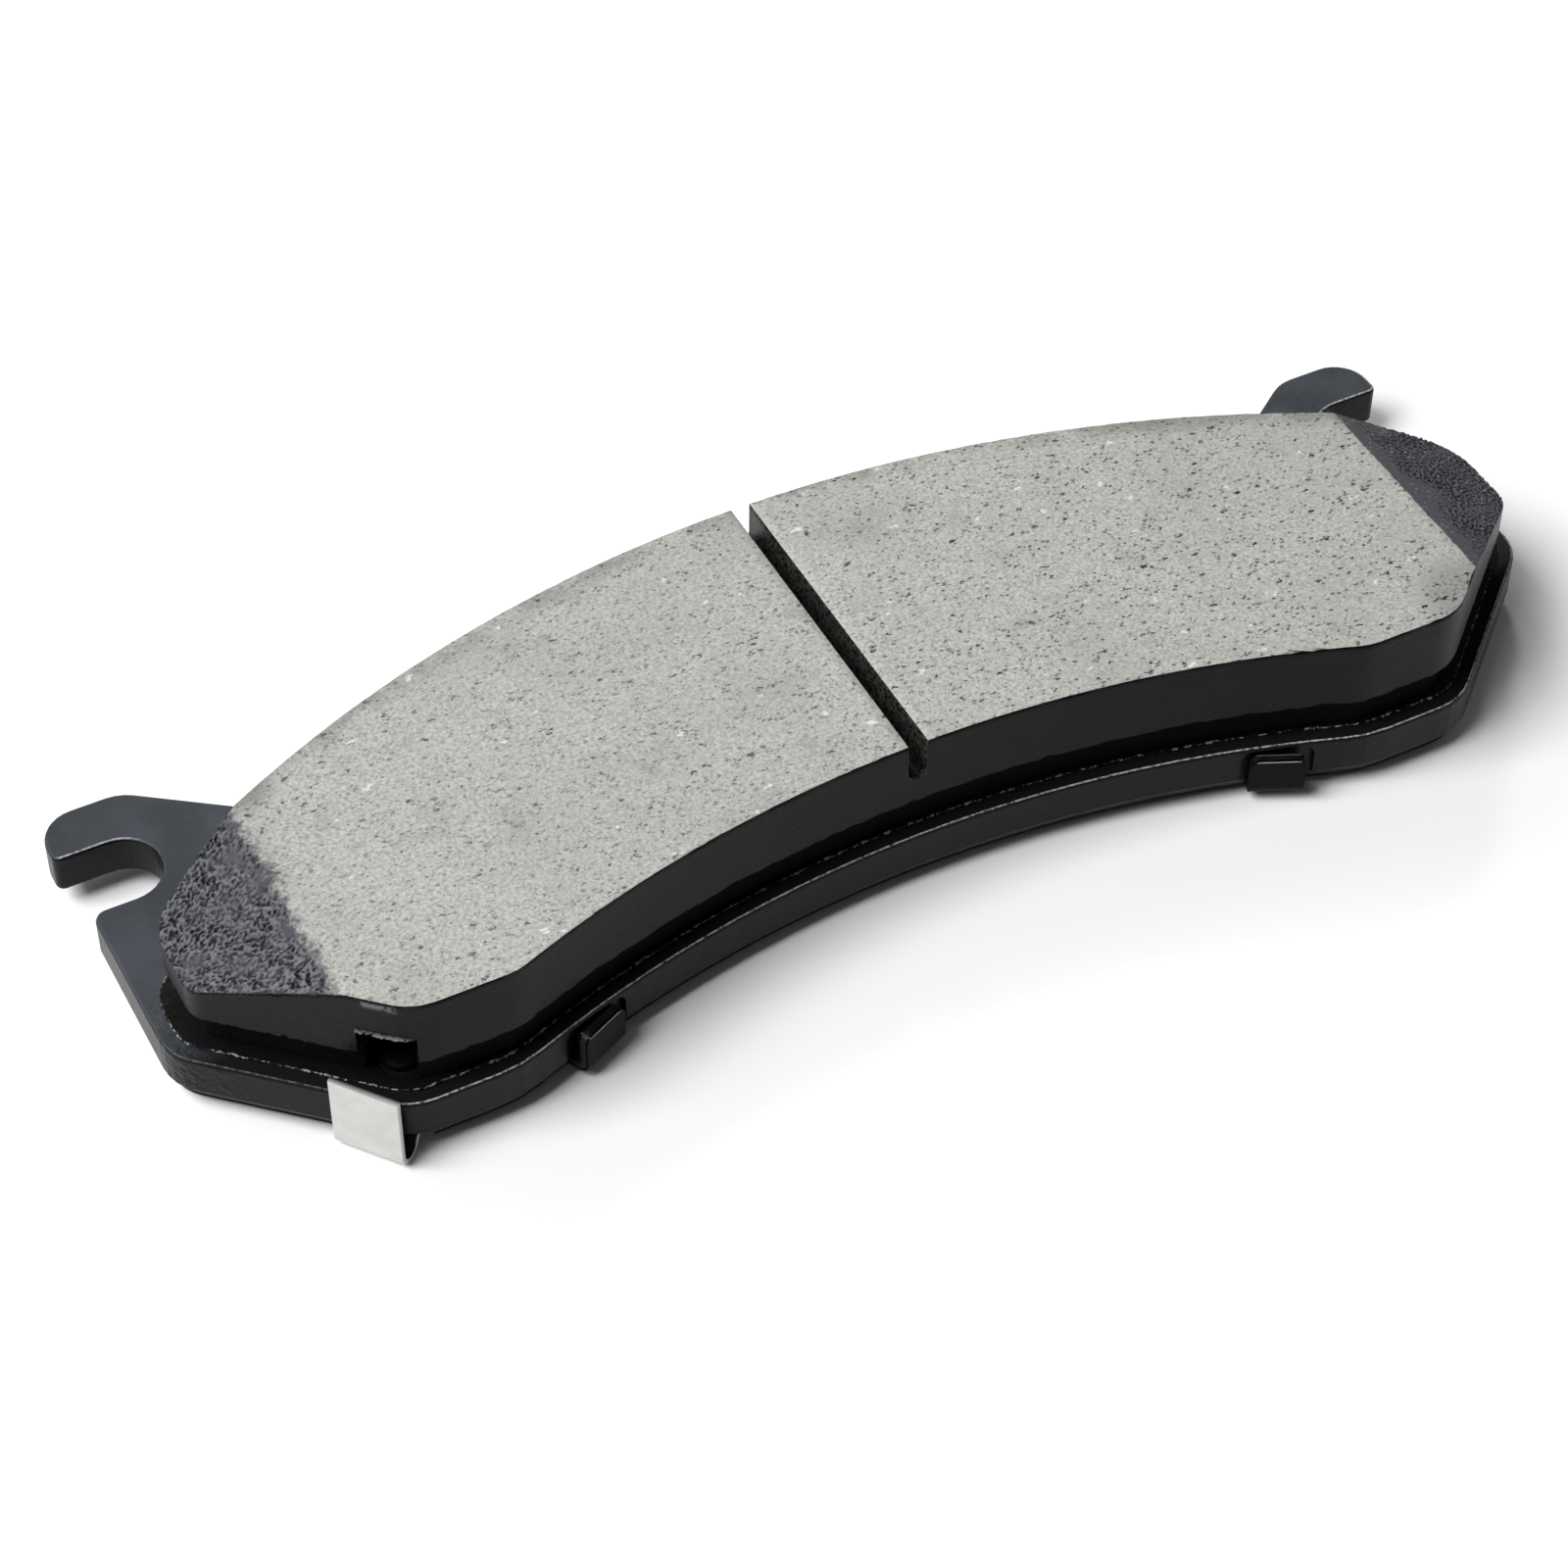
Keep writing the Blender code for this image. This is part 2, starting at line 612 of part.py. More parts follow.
def make_rivet(paint):
    """Factory head on the plate, shank through plate and strip, formed tail under the strip."""
    seat = PLATE_TOP + SEAT_GAP
    under = PLATE_Z - 2 * SEAT_GAP - STRIP_THICKNESS
    crown = RIVET_HEAD_HEIGHT * 0.45
    dome = [
        (RIVET_HEAD_RADIUS * math.cos(a), seat + crown + (RIVET_HEAD_HEIGHT - crown) * math.sin(a))
        for a in (math.radians(15 * i) for i in range(6))
    ]
    profile = [(0, seat + RIVET_HEAD_HEIGHT)] + dome[::-1] + [(RIVET_HEAD_RADIUS, seat)]
    profile += [(RIVET_RADIUS, seat), (RIVET_RADIUS, under), (RIVET_TAIL_RADIUS, under)]
    profile += [(RIVET_TAIL_RADIUS * 0.92, under - RIVET_TAIL_HEIGHT), (0, under - RIVET_TAIL_HEIGHT)]
    return at_indicator(turned("wear_indicator_rivet", profile, paint))


def build():
    clear_scene()
    black_rubber = material("black_rubber", (0.02, 0.02, 0.022), 0.6, 0.0)
    made = [
        make_friction_block(material("friction_compound", (0.45, 0.45, 0.42), 0.85, 0.0)),
        make_underlayer(material("underlayer_compound", (0.02, 0.02, 0.02), 0.8, 0.0)),
        make_bond_film(material("cured_bond_film", (0.03, 0.025, 0.02), 0.4, 0.0)),
        make_backing_plate(material("powder_coated_steel", (0.035, 0.037, 0.042), 0.4, 0.3)),
        make_shim_adhesive(material("shim_adhesive", (0.12, 0.1, 0.06), 0.5, 0.0)),
        make_shim_layer("shim_inner_rubber", INNER_RUBBER_Z, SHIM_RUBBER_THICKNESS, black_rubber),
        make_shim_layer(
            "shim_steel_core",
            STEEL_Z,
            SHIM_STEEL_THICKNESS,
            material("shim_steel", (0.3, 0.3, 0.31), 0.35, 0.9),
        ),
        make_shim_layer("shim_outer_rubber", OUTER_RUBBER_Z, SHIM_RUBBER_THICKNESS, black_rubber),
        make_wear_indicator(material("plated_spring_steel", (0.8, 0.8, 0.78), 0.3, 0.8)),
        make_rivet(material("rivet_steel", (0.45, 0.44, 0.42), 0.4, 0.9)),
    ]
    for obj in made:
        smooth_round(obj)


build()
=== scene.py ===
"""Looks of a disc brake pad: ground friction face, hammered end chamfers, powder-coated plate.

Metres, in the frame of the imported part: +X along the pad, +Y to the outer edge, +Z to the rotor.
"""

import math

import bpy
import numpy as np
from mathutils import Matrix, Vector


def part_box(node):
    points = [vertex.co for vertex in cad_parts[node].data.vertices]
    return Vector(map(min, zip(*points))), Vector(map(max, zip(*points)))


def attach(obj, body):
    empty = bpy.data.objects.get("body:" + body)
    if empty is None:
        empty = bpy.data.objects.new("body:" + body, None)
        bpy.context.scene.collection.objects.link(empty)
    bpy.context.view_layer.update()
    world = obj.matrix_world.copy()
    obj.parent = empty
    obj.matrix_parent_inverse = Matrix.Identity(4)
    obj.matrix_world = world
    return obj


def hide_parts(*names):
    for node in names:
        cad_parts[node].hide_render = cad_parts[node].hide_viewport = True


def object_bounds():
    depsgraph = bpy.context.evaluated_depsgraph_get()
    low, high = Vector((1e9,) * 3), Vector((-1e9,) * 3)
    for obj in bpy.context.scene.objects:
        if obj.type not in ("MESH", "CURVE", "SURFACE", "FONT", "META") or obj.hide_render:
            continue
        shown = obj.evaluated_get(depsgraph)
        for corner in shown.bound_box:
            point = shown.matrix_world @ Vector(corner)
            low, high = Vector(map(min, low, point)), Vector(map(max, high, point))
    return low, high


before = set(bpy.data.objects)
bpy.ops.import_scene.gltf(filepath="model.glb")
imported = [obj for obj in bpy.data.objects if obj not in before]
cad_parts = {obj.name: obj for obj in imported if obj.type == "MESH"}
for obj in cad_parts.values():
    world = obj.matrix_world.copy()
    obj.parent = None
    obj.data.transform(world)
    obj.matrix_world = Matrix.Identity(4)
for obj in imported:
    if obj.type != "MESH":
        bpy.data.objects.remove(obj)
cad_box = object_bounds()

MM = 0.001

# ---- levels and lengths read from the part ----
BLOCK_LOW, BLOCK_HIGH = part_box("friction_block")
PLATE_LOW, PLATE_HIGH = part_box("backing_plate")
FILM_LOW, FILM_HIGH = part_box("bond_film")
STRIP_LOW, STRIP_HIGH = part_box("wear_indicator")
HALF_LENGTH = BLOCK_HIGH.x
OUTER_Y = BLOCK_HIGH.y
FLAT_Y = BLOCK_LOW.y
FACE_Z = BLOCK_HIGH.z
FLOOR_GAP = 0.02 * MM

# ---- friction block ----
FACE_WIDTH = 49.1 * MM
OUTER_BOW_DROP = 28.8 * MM
INNER_BOW_DROP = 11.1 * MM
FLAT_START = 34.9 * MM
DIAGONAL_RUN = 21.4 * MM
END_WALL = 11.8 * MM
KINK_CORNER = 7 * MM
DIAGONAL_CORNER = 8 * MM
END_CORNER = 5 * MM
OUTER_CORNER = 9 * MM
CHAMFER_RUN = 14.9 * MM
CHAMFER_DROP = 5.8 * MM
SLOT_RADIUS = 1.3 * MM
SLOT_DEPTH = 6.1 * MM
SLOT_WALL_LEAN = 0.04 * MM
EDGE_BREAK = 0.1 * MM
POCKET_HEIGHT = 4.3 * MM
POCKET_RADIUS = 3.3 * MM
FACE_STATIONS = 60
CHAMFER_STATIONS = 110
WIDTH_STATIONS = 188
LEFT_PIT_DEPTH = 0.12 * MM
RIGHT_PIT_DEPTH = 0.1 * MM
FULL_PIT = 0.13 * MM  # the depth that the attribute "pit" counts as 1
RIM_GROOVE = 0.07 * MM
FOOT_UNEVENNESS = 0.16 * MM
CEILING_UNEVENNESS = 0.07 * MM
POCKET_LIP = 0.004 * MM  # from the burr to the ceiling that starts behind it

# ---- plate and film margins outside the friction block ----
OUTER_MARGIN = 1.8 * MM
INNER_MARGIN = 1.1 * MM
FLAT_MARGIN = 1.4 * MM
DIAGONAL_MARGIN = 2.4 * MM
END_MARGIN = 3.6 * MM
PLATE_END_CORNER = 7 * MM
PLATE_DIAGONAL_CORNER = 9 * MM
PLATE_KINK_CORNER = 18 * MM
FILM_INSET = 2.2 * MM
BEAD_SPACING = 0.5 * MM
BEAD_WANDER = 0.05 * MM

# ---- wear indicator ----
STRIP_WIDTH = 9.5 * MM
STRIP_THICKNESS = 0.8 * MM
STRIP_TURN = math.radians(9)
STRIP_EDGE_ROUND = 0.14 * MM
STRIP_TIP_BURR = 0.05 * MM
FOOT_BEYOND_RIVET = 4.5 * MM
CURL_RADIUS = 1.7 * MM
FOOT_BEND_RADIUS = 1 * MM
RIVET_INSIDE_EDGE = 7.5 * MM
RIVET_ALONG_DIAGONAL = 4.5 * MM
SEAT_GAP = 0.3 * MM

# ---- places worked out from these ----
INNER_APEX = OUTER_Y - FACE_WIDTH
END_TOP_Y = OUTER_Y - OUTER_BOW_DROP
KINK_X = HALF_LENGTH - FLAT_START
CORNER_X = HALF_LENGTH - DIAGONAL_RUN
DIAGONAL_ANGLE = math.atan2(END_TOP_Y - END_WALL - FLAT_Y, DIAGONAL_RUN)
CHAMFER_X = HALF_LENGTH - CHAMFER_RUN

# ---- finishes: red, green, blue and alpha ----
STONE_DARK, STONE_PALE = (0.275, 0.275, 0.257, 1), (0.475, 0.475, 0.45, 1)
STONE_CLOUD, STONE_GRIME = (0.28, 0.28, 0.256, 1), (0.2, 0.2, 0.183, 1)
RUBBED_EDGE, SMUDGED_CORNER = (0.13, 0.13, 0.11, 1), (0.11, 0.11, 0.105, 1)
# The chamfer's pit colour is painted shade in the hammered pits.
CHAMFER_HIGH, CHAMFER_PIT_SHADE = (0.13, 0.134, 0.15, 1), (0.005, 0.005, 0.008, 1)
CHAMFER_CLOUD, CHAMFER_RIGHT = (0.04, 0.041, 0.049, 1), (0.016, 0.017, 0.021, 1)
# The chamfer's glint colour is painted sparkle: pale flecks standing for highlights.
CHAMFER_PAINTED_GLINT = (0.22, 0.225, 0.24, 1)
WALL_DARK, WALL_PALE = (0.002, 0.002, 0.0025, 1), (0.004, 0.004, 0.005, 1)
# The rim line colour is a painted shadow under the rim; the burr colour is partly unpainted compound and
# partly painted highlight.
RIM_SHADOW_LINE, BARE_BURR_AND_GLINT = (0.001, 0.001, 0.001, 1), (0.14, 0.14, 0.145, 1)
# The torn compound in the slot is drawn near-black as painted shade.
TORN_SHADE_DARK, TORN_SHADE_PALE = (0.004, 0.004, 0.004, 1), (0.05, 0.05, 0.045, 1)
COAT_DARK, COAT_PALE = (0.026, 0.03, 0.036, 1), (0.041, 0.047, 0.056, 1)
# The pale edge colour is a painted highlight along the plate's front-facing top edges.
COAT_GRAIN, PAINTED_EDGE_HIGHLIGHT = (0.05, 0.056, 0.066, 1), (0.6, 0.6, 0.6, 1)
# The near-black coat copy is painted shade on the plate's sides and on the flat in the block's shade.
COAT_SHADE_DARK, COAT_SHADE_PALE = (0.0015, 0.0015, 0.002, 1), (0.004, 0.004, 0.005, 1)
RUBBER_DARK, RUBBER_PALE = (0.001, 0.001, 0.001, 1), (0.0025, 0.0025, 0.003, 1)
# The tab lip colour is partly the cut edge's pale tone and partly a painted highlight.
TAB_LIP_HIGHLIGHT = (0.4, 0.4, 0.4, 1)
# The underlayer's near-black is partly its own colour and partly painted shade under the block.
UNDERLAYER_SHADE_DARK, UNDERLAYER_SHADE_PALE = (0.0008, 0.0008, 0.0008, 1), (0.003, 0.003, 0.003, 1)
FILM_BLACK = (0.001, 0.001, 0.001, 1)
PLATED_DARK, PLATED_PALE = (0.56, 0.555, 0.535, 1), (0.62, 0.615, 0.6, 1)
HAIRLINE, STRIP_INSIDE = (0.45, 0.45, 0.43, 1), (0.012, 0.012, 0.012, 1)
FLOOR_DARK, FLOOR_PALE = (0.86, 0.86, 0.86, 1), (0.88, 0.88, 0.88, 1)

# ---- flecks in the ground face, finest first: size in mm, share of the cells, reach ----
GRAIN_TURN = math.radians(27)  # the way the face was ground, along which flecks are drawn out
FLECK_KINDS = ((0.3, 0.5, 0.5), (0.5, 0.32, 0.46), (0.9, 0.24, 0.34), (1.5, 0.08, 0.3))
# how strongly each kind shows at the -X and at the +X end, and its shade
FLECK_STRENGTHS = ((0.45, 0.55), (0.5, 0.85), (0.7, 0.95), (0.6, 0.6))
FLECK_SHADES = ((0.13, 0.13, 0.125), (0.05, 0.05, 0.05), (0.012, 0.012, 0.015), (0.72, 0.72, 0.7))

# ---- lamps: name, place, aim, width, height, power; all lengths in metres ----
LAMPS = (
    ("overhead", (-1.05, 0.0, 1.45), (0, 0, 0), 1.0, 1.0, 42),
    ("behind", (-0.7, 1.8, 1.6), (0, 0, 0), 1.6, 1.2, 18),
    ("sparkle", (0.7, 1.5, 1.5), (0, 0, 0), 0.3, 0.3, 7),
    ("right_card", (0.75, 0.4, 0.14), (0, 0, 0.01), 0.5, 0.25, 0.5),
    ("left_card", (-0.5, 0.75, 0.12), (0, 0, 0.01), 0.4, 0.2, 0.6),
)
WORLD_STRENGTH = 0.1
FLOOR_HALF_SIDE = 4.0

# ---- camera ----
CAMERA_AIM = Vector((-18.1 * MM, -18.55 * MM, FACE_Z))
CAMERA_DISTANCE = 499.8 * MM
CAMERA_AZIMUTH = math.radians(-27.58)
CAMERA_ELEVATION = math.radians(46.47)
CAMERA_ROLL = math.radians(0.26)
CAMERA_LENS = 92.85


# ---- plane outlines, as complex numbers x + iy, walked with the material on the left ----


def bow_radius(half_chord, drop):
    """Radius of the arc that falls by drop over half its chord."""
    return (half_chord**2 + drop**2) / (2 * drop)


def straight(x, y, angle):
    """A straight edge through (x, y) at angle to +X."""
    return ("straight", complex(x, y), complex(math.cos(angle), math.sin(angle)))


def bow(y, radius):
    """A round edge about (0, y); a positive radius is walked anticlockwise."""
    return ("bow", complex(0, y), radius)


def moved_in(edge, distance):
    """The edge shifted to its left: a line sideways, a bow by shortening its signed radius."""
    kind, place, run = edge
    if kind == "straight":
        return (kind, place + 1j * run * distance, run)
    return (kind, place, run - distance)


def meeting(first, second):
    """Where two edges cross, the crossing further along +X when a line meets a bow."""
    if first[0] == "bow":
        first, second = second, first
    _, start, heading = first
    if second[0] == "straight":
        _, other, bearing = second
        reach = ((other - start) * bearing.conjugate()).imag / (heading * bearing.conjugate()).imag
        return start + heading * reach
    _, centre, radius = second
    local = (centre - start) * heading.conjugate()
    half = math.sqrt(max(radius**2 - local.imag**2, 0))
    return max((start + heading * (local.real + side * half) for side in (-1, 1)), key=lambda p: p.real)


def foot(edge, point):
    """The nearest point of an edge."""
    kind, place, run = edge
    if kind == "straight":
        return place + run * ((point - place) * run.conjugate()).real
    away = point - place
    return place + away / abs(away) * abs(run)


def round_run(centre, start, end, turn, step=math.radians(3)):
    """Points at equal angles round centre from start to end."""
    first, last = start - centre, end - centre
    sweep = np.angle(last / first) * turn % (2 * math.pi) * turn
    count = max(2, int(abs(sweep) / step) + 1)
    return centre + first * np.exp(1j * np.linspace(0, sweep, count))


def fillet(first, second, radius):
    """The arc tangent to both edges; a negative radius fills a hollow corner."""
    centre = meeting(moved_in(first, radius), moved_in(second, radius))
    return round_run(centre, foot(first, centre), foot(second, centre), 1 if radius > 0 else -1)


def run_between(edge, start, end, spacing=1 * MM):
    """Points on an edge between start and end, both left out."""
    if edge[0] == "straight":
        count = max(2, int(abs(end - start) / spacing))
        return np.linspace(start, end, count)[1:-1]
    turn = 1 if edge[2] > 0 else -1
    return round_run(edge[1], start, end, turn, spacing / abs(edge[2]))[1:-1]


def half_outline(edges, radii, start, end):
    """The right-hand half of an outline with every corner rounded."""
    runs = [np.array([start])]
    for first, second, radius in zip(edges, edges[1:], radii):
        arc = fillet(first, second, radius)
        runs += [run_between(first, runs[-1][-1], arc[0]), arc]
    runs += [run_between(edges[-1], runs[-1][-1], end), np.array([end])]
    return np.concatenate([run for run in runs if len(run)])


def mirrored(half):
    """A whole outline from its right-hand half: the left half is the same points with x negated."""
    return np.concatenate([half, -half[-2:0:-1].conjugate()])


def block_edges():
    """The block's right-hand edges in order: inner bow, flat, diagonal, end wall, outer bow."""
    inner = bow_radius(KINK_X, INNER_BOW_DROP)
    outer = bow_radius(HALF_LENGTH, OUTER_BOW_DROP)
    return [
        bow(INNER_APEX - inner, -inner),
        straight(KINK_X, FLAT_Y, 0),
        straight(CORNER_X, FLAT_Y, DIAGONAL_ANGLE),
        straight(HALF_LENGTH, 0, math.pi / 2),
        bow(OUTER_Y - outer, outer),
    ]


def block_half():
    """The right-hand half outline, its end corners scaled down where the end wall is too short."""
    share = min(1.0, END_WALL / (OUTER_CORNER + END_CORNER))
    radii = [KINK_CORNER, DIAGONAL_CORNER, END_CORNER * share, OUTER_CORNER * share]
    return half_outline(block_edges(), radii, complex(0, INNER_APEX), complex(0, OUTER_Y))


def body_loop(inset):
    """The plate's body without its ears, inset inside its edge."""
    margins = (INNER_MARGIN, FLAT_MARGIN, DIAGONAL_MARGIN, END_MARGIN, OUTER_MARGIN)
    edges = [moved_in(edge, inset - margin) for edge, margin in zip(block_edges(), margins)]
    radii = [PLATE_KINK_CORNER, PLATE_DIAGONAL_CORNER, PLATE_END_CORNER, OUTER_CORNER]
    start = complex(0, INNER_APEX - INNER_MARGIN + inset)
    end = complex(0, OUTER_Y + OUTER_MARGIN - inset)
    return mirrored(half_outline(edges, [radius - inset for radius in radii], start, end))


def even_loop(loop, spacing):
    """A closed outline read at equal steps of its length."""
    closed = np.append(loop, loop[0])
    length = np.concatenate([[0], np.cumsum(abs(np.diff(closed)))])
    count = int(length[-1] / spacing)
    reach = np.linspace(0, length[-1], count, endpoint=False)
    return np.interp(reach, length, closed.real) + 1j * np.interp(reach, length, closed.imag)


def outward(loop):
    """Unit normals of a closed anticlockwise outline: the chord through its neighbours turned right."""
    chord = np.roll(loop, -1) - np.roll(loop, 1)
    return -1j * chord / abs(chord)


# ---- meshes ----


def add_piece(name, points, faces, look, replaced=None, crease=math.radians(50)):
    """A finished piece in the part's frame that rides on the pad, in the place of a node if one is named."""
    mesh = bpy.data.meshes.new(name)
    mesh.from_pydata(np.asarray(points).reshape(-1, 3).tolist(), [], faces)
    mesh.validate()
    mesh.shade_smooth()
    mesh.set_sharp_from_angle(angle=crease)
    mesh.materials.append(look)
    piece = bpy.data.objects.new(name, mesh)
    bpy.context.scene.collection.objects.link(piece)
    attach(piece, "root")
    if replaced:
        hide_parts(replaced)
    return piece


def tag_points(piece, name, values):
    """Stores one number a vertex for the materials to read."""
    attribute = piece.data.attributes.new(name, "FLOAT", "POINT")
    attribute.data.foreach_set("value", np.asarray(values, np.float32).ravel())


def grid_faces(index, wrap_rows=False, wrap_columns=False):
    """Quads over an index grid; rows run first, and a wrapped direction closes on itself."""
    if wrap_rows:
        index = np.concatenate([index, index[:1]])
    if wrap_columns:
        index = np.concatenate([index, index[:, :1]], axis=1)
    corners = [index[:-1, :-1], index[1:, :-1], index[1:, 1:], index[:-1, 1:]]
    return np.stack(corners, axis=-1).reshape(-1, 4).tolist()


def band_noise(seed, coarse, fine, tile=64 * MM, cells=512):
    """A sampler of smooth random heights whose waves are between fine and coarse long.

    White noise is kept only in that band of its spectrum, scaled to unit spread and repeated in
    tiles; a reading between cells mixes its four neighbours.
    """
    white = np.random.default_rng(seed).standard_normal((cells, cells))
    wave = np.fft.fftfreq(cells, tile / cells)
    pitch = np.hypot(*np.meshgrid(wave, wave))
    band = np.exp(-((pitch * fine) ** 4)) * (1 - np.exp(-((pitch * coarse) ** 4)))
    sheet = np.fft.ifft2(np.fft.fft2(white) * band).real
    sheet /= sheet.std()

    def read(x, y):
        u, v = np.asarray(x) / tile * cells, np.asarray(y) / tile * cells
        i, j = np.floor(u).astype(int), np.floor(v).astype(int)
        s, t = u - i, v - j
        i0, i1, j0, j1 = i % cells, (i + 1) % cells, j % cells, (j + 1) % cells
        low = sheet[i0, j0] * (1 - s) + sheet[i1, j0] * s
        high = sheet[i0, j1] * (1 - s) + sheet[i1, j1] * s
        return low * (1 - t) + high * t

    return read


def smooth_step(value, low, high):
    """0 below low, 1 above high, and the cubic 3t^2 - 2t^3 between."""
    t = np.clip((value - low) / (high - low), 0, 1)
    return t * t * (3 - 2 * t)


# ---- the friction block ----


def indicator_place():
    """Rivet centre, and the heading from it square over the plate's diagonal edge at the -X end."""
    along = complex(-math.cos(DIAGONAL_ANGLE), math.sin(DIAGONAL_ANGLE))
    out = complex(-math.sin(DIAGONAL_ANGLE), -math.cos(DIAGONAL_ANGLE))
    corner = complex(-CORNER_X, FLAT_Y)
    return corner + along * RIVET_ALONG_DIAGONAL - out * (RIVET_INSIDE_EDGE - DIAGONAL_MARGIN), out


def face_section():
    """Half of the block's lengthways section, from the slot's floor to the end of the chamfer.

    A quarter circle, a nearly upright wall, the flat face, then the sloping chamfer, whose points
    crowd towards the end so that the round corners stay round.
    """
    bend = np.linspace(0, math.pi / 2, 7)
    floor = FACE_Z - SLOT_DEPTH
    groove_x = SLOT_RADIUS * np.sin(bend)
    groove_z = floor + SLOT_RADIUS * (1 - np.cos(bend))
    rise = np.linspace(0, 1, 6)[1:]
    wall_x = SLOT_RADIUS + SLOT_WALL_LEAN * rise
    wall_z = floor + SLOT_RADIUS + (FACE_Z - EDGE_BREAK - floor - SLOT_RADIUS) * rise
    flat_x = np.linspace(SLOT_RADIUS + SLOT_WALL_LEAN + EDGE_BREAK, CHAMFER_X, FACE_STATIONS)
    slope = 1 - (1 - np.linspace(0, 1, CHAMFER_STATIONS + 1)[1:]) ** 1.4
    x = np.concatenate([groove_x, wall_x, flat_x, CHAMFER_X + CHAMFER_RUN * slope])
    z = np.concatenate([groove_z, wall_z, np.full(FACE_STATIONS, FACE_Z), FACE_Z - CHAMFER_DROP * slope])
    return x, z


def with_pocket_columns(x, z):
    """The section with extra stations where the rivet pocket's mouth starts and stops."""
    centre, out = indicator_place()
    along = 1j * out
    middle = centre + out * (RIVET_INSIDE_EDGE - DIAGONAL_MARGIN)
    sides = np.array([-POCKET_RADIUS, POCKET_RADIUS])
    near = np.array([-0.03, 0.03]) * MM
    mouth = (middle.real + along.real * (sides[:, None] + near)).ravel()
    inner = middle.real + along.real * np.linspace(-0.97, 0.97, 24) * POCKET_RADIUS
    station = np.concatenate([mouth, inner])
    x = np.concatenate([x, station])
    z = np.concatenate([z, np.full(len(station), FACE_Z)])
    order = np.argsort(x)
    x, z = x[order], z[order]
    apart = np.append(True, np.diff(x) > 0.002 * MM)
    return x[apart], z[apart]


def chamfer_relief(x, y):
    """Depth of the hammered skin below the chamfer, summed from bands of smooth noise.

    At -X coarse and fine pits ride on a slow swell; at +X they are finer and start further down.
    """
    past = abs(x) - CHAMFER_X
    coarse = band_noise(11, 1.6 * MM, 0.55 * MM)(x, y * 1.2)
    fine = band_noise(12, 1.1 * MM, 0.4 * MM)(x, y)
    broad = band_noise(13, 14 * MM, 5 * MM)(x, y)
    swell = band_noise(15, 4 * MM, 1.4 * MM)(x, y)
    pits = 0.8 * np.tanh(1.2 * coarse - 0.2) + 0.55 * fine + 0.4 * swell
    left = LEFT_PIT_DEPTH * (1 + 0.4 * broad) * pits
    right = RIGHT_PIT_DEPTH * (1 + 0.3 * broad) * (0.5 * np.tanh(coarse) + np.tanh(1.4 * fine))
    right *= smooth_step(past, 0.8 * MM, 4 * MM)
    depth = np.where(x < 0, left, right)
    return depth * smooth_step(past, -0.5 * MM, 1.5 * MM)


def block_ring(index):
    """The border of an index grid as one anticlockwise loop."""
    return np.concatenate([index[:, 0], index[-1, 1:], index[-2::-1, -1], index[0, -2:0:-1]])


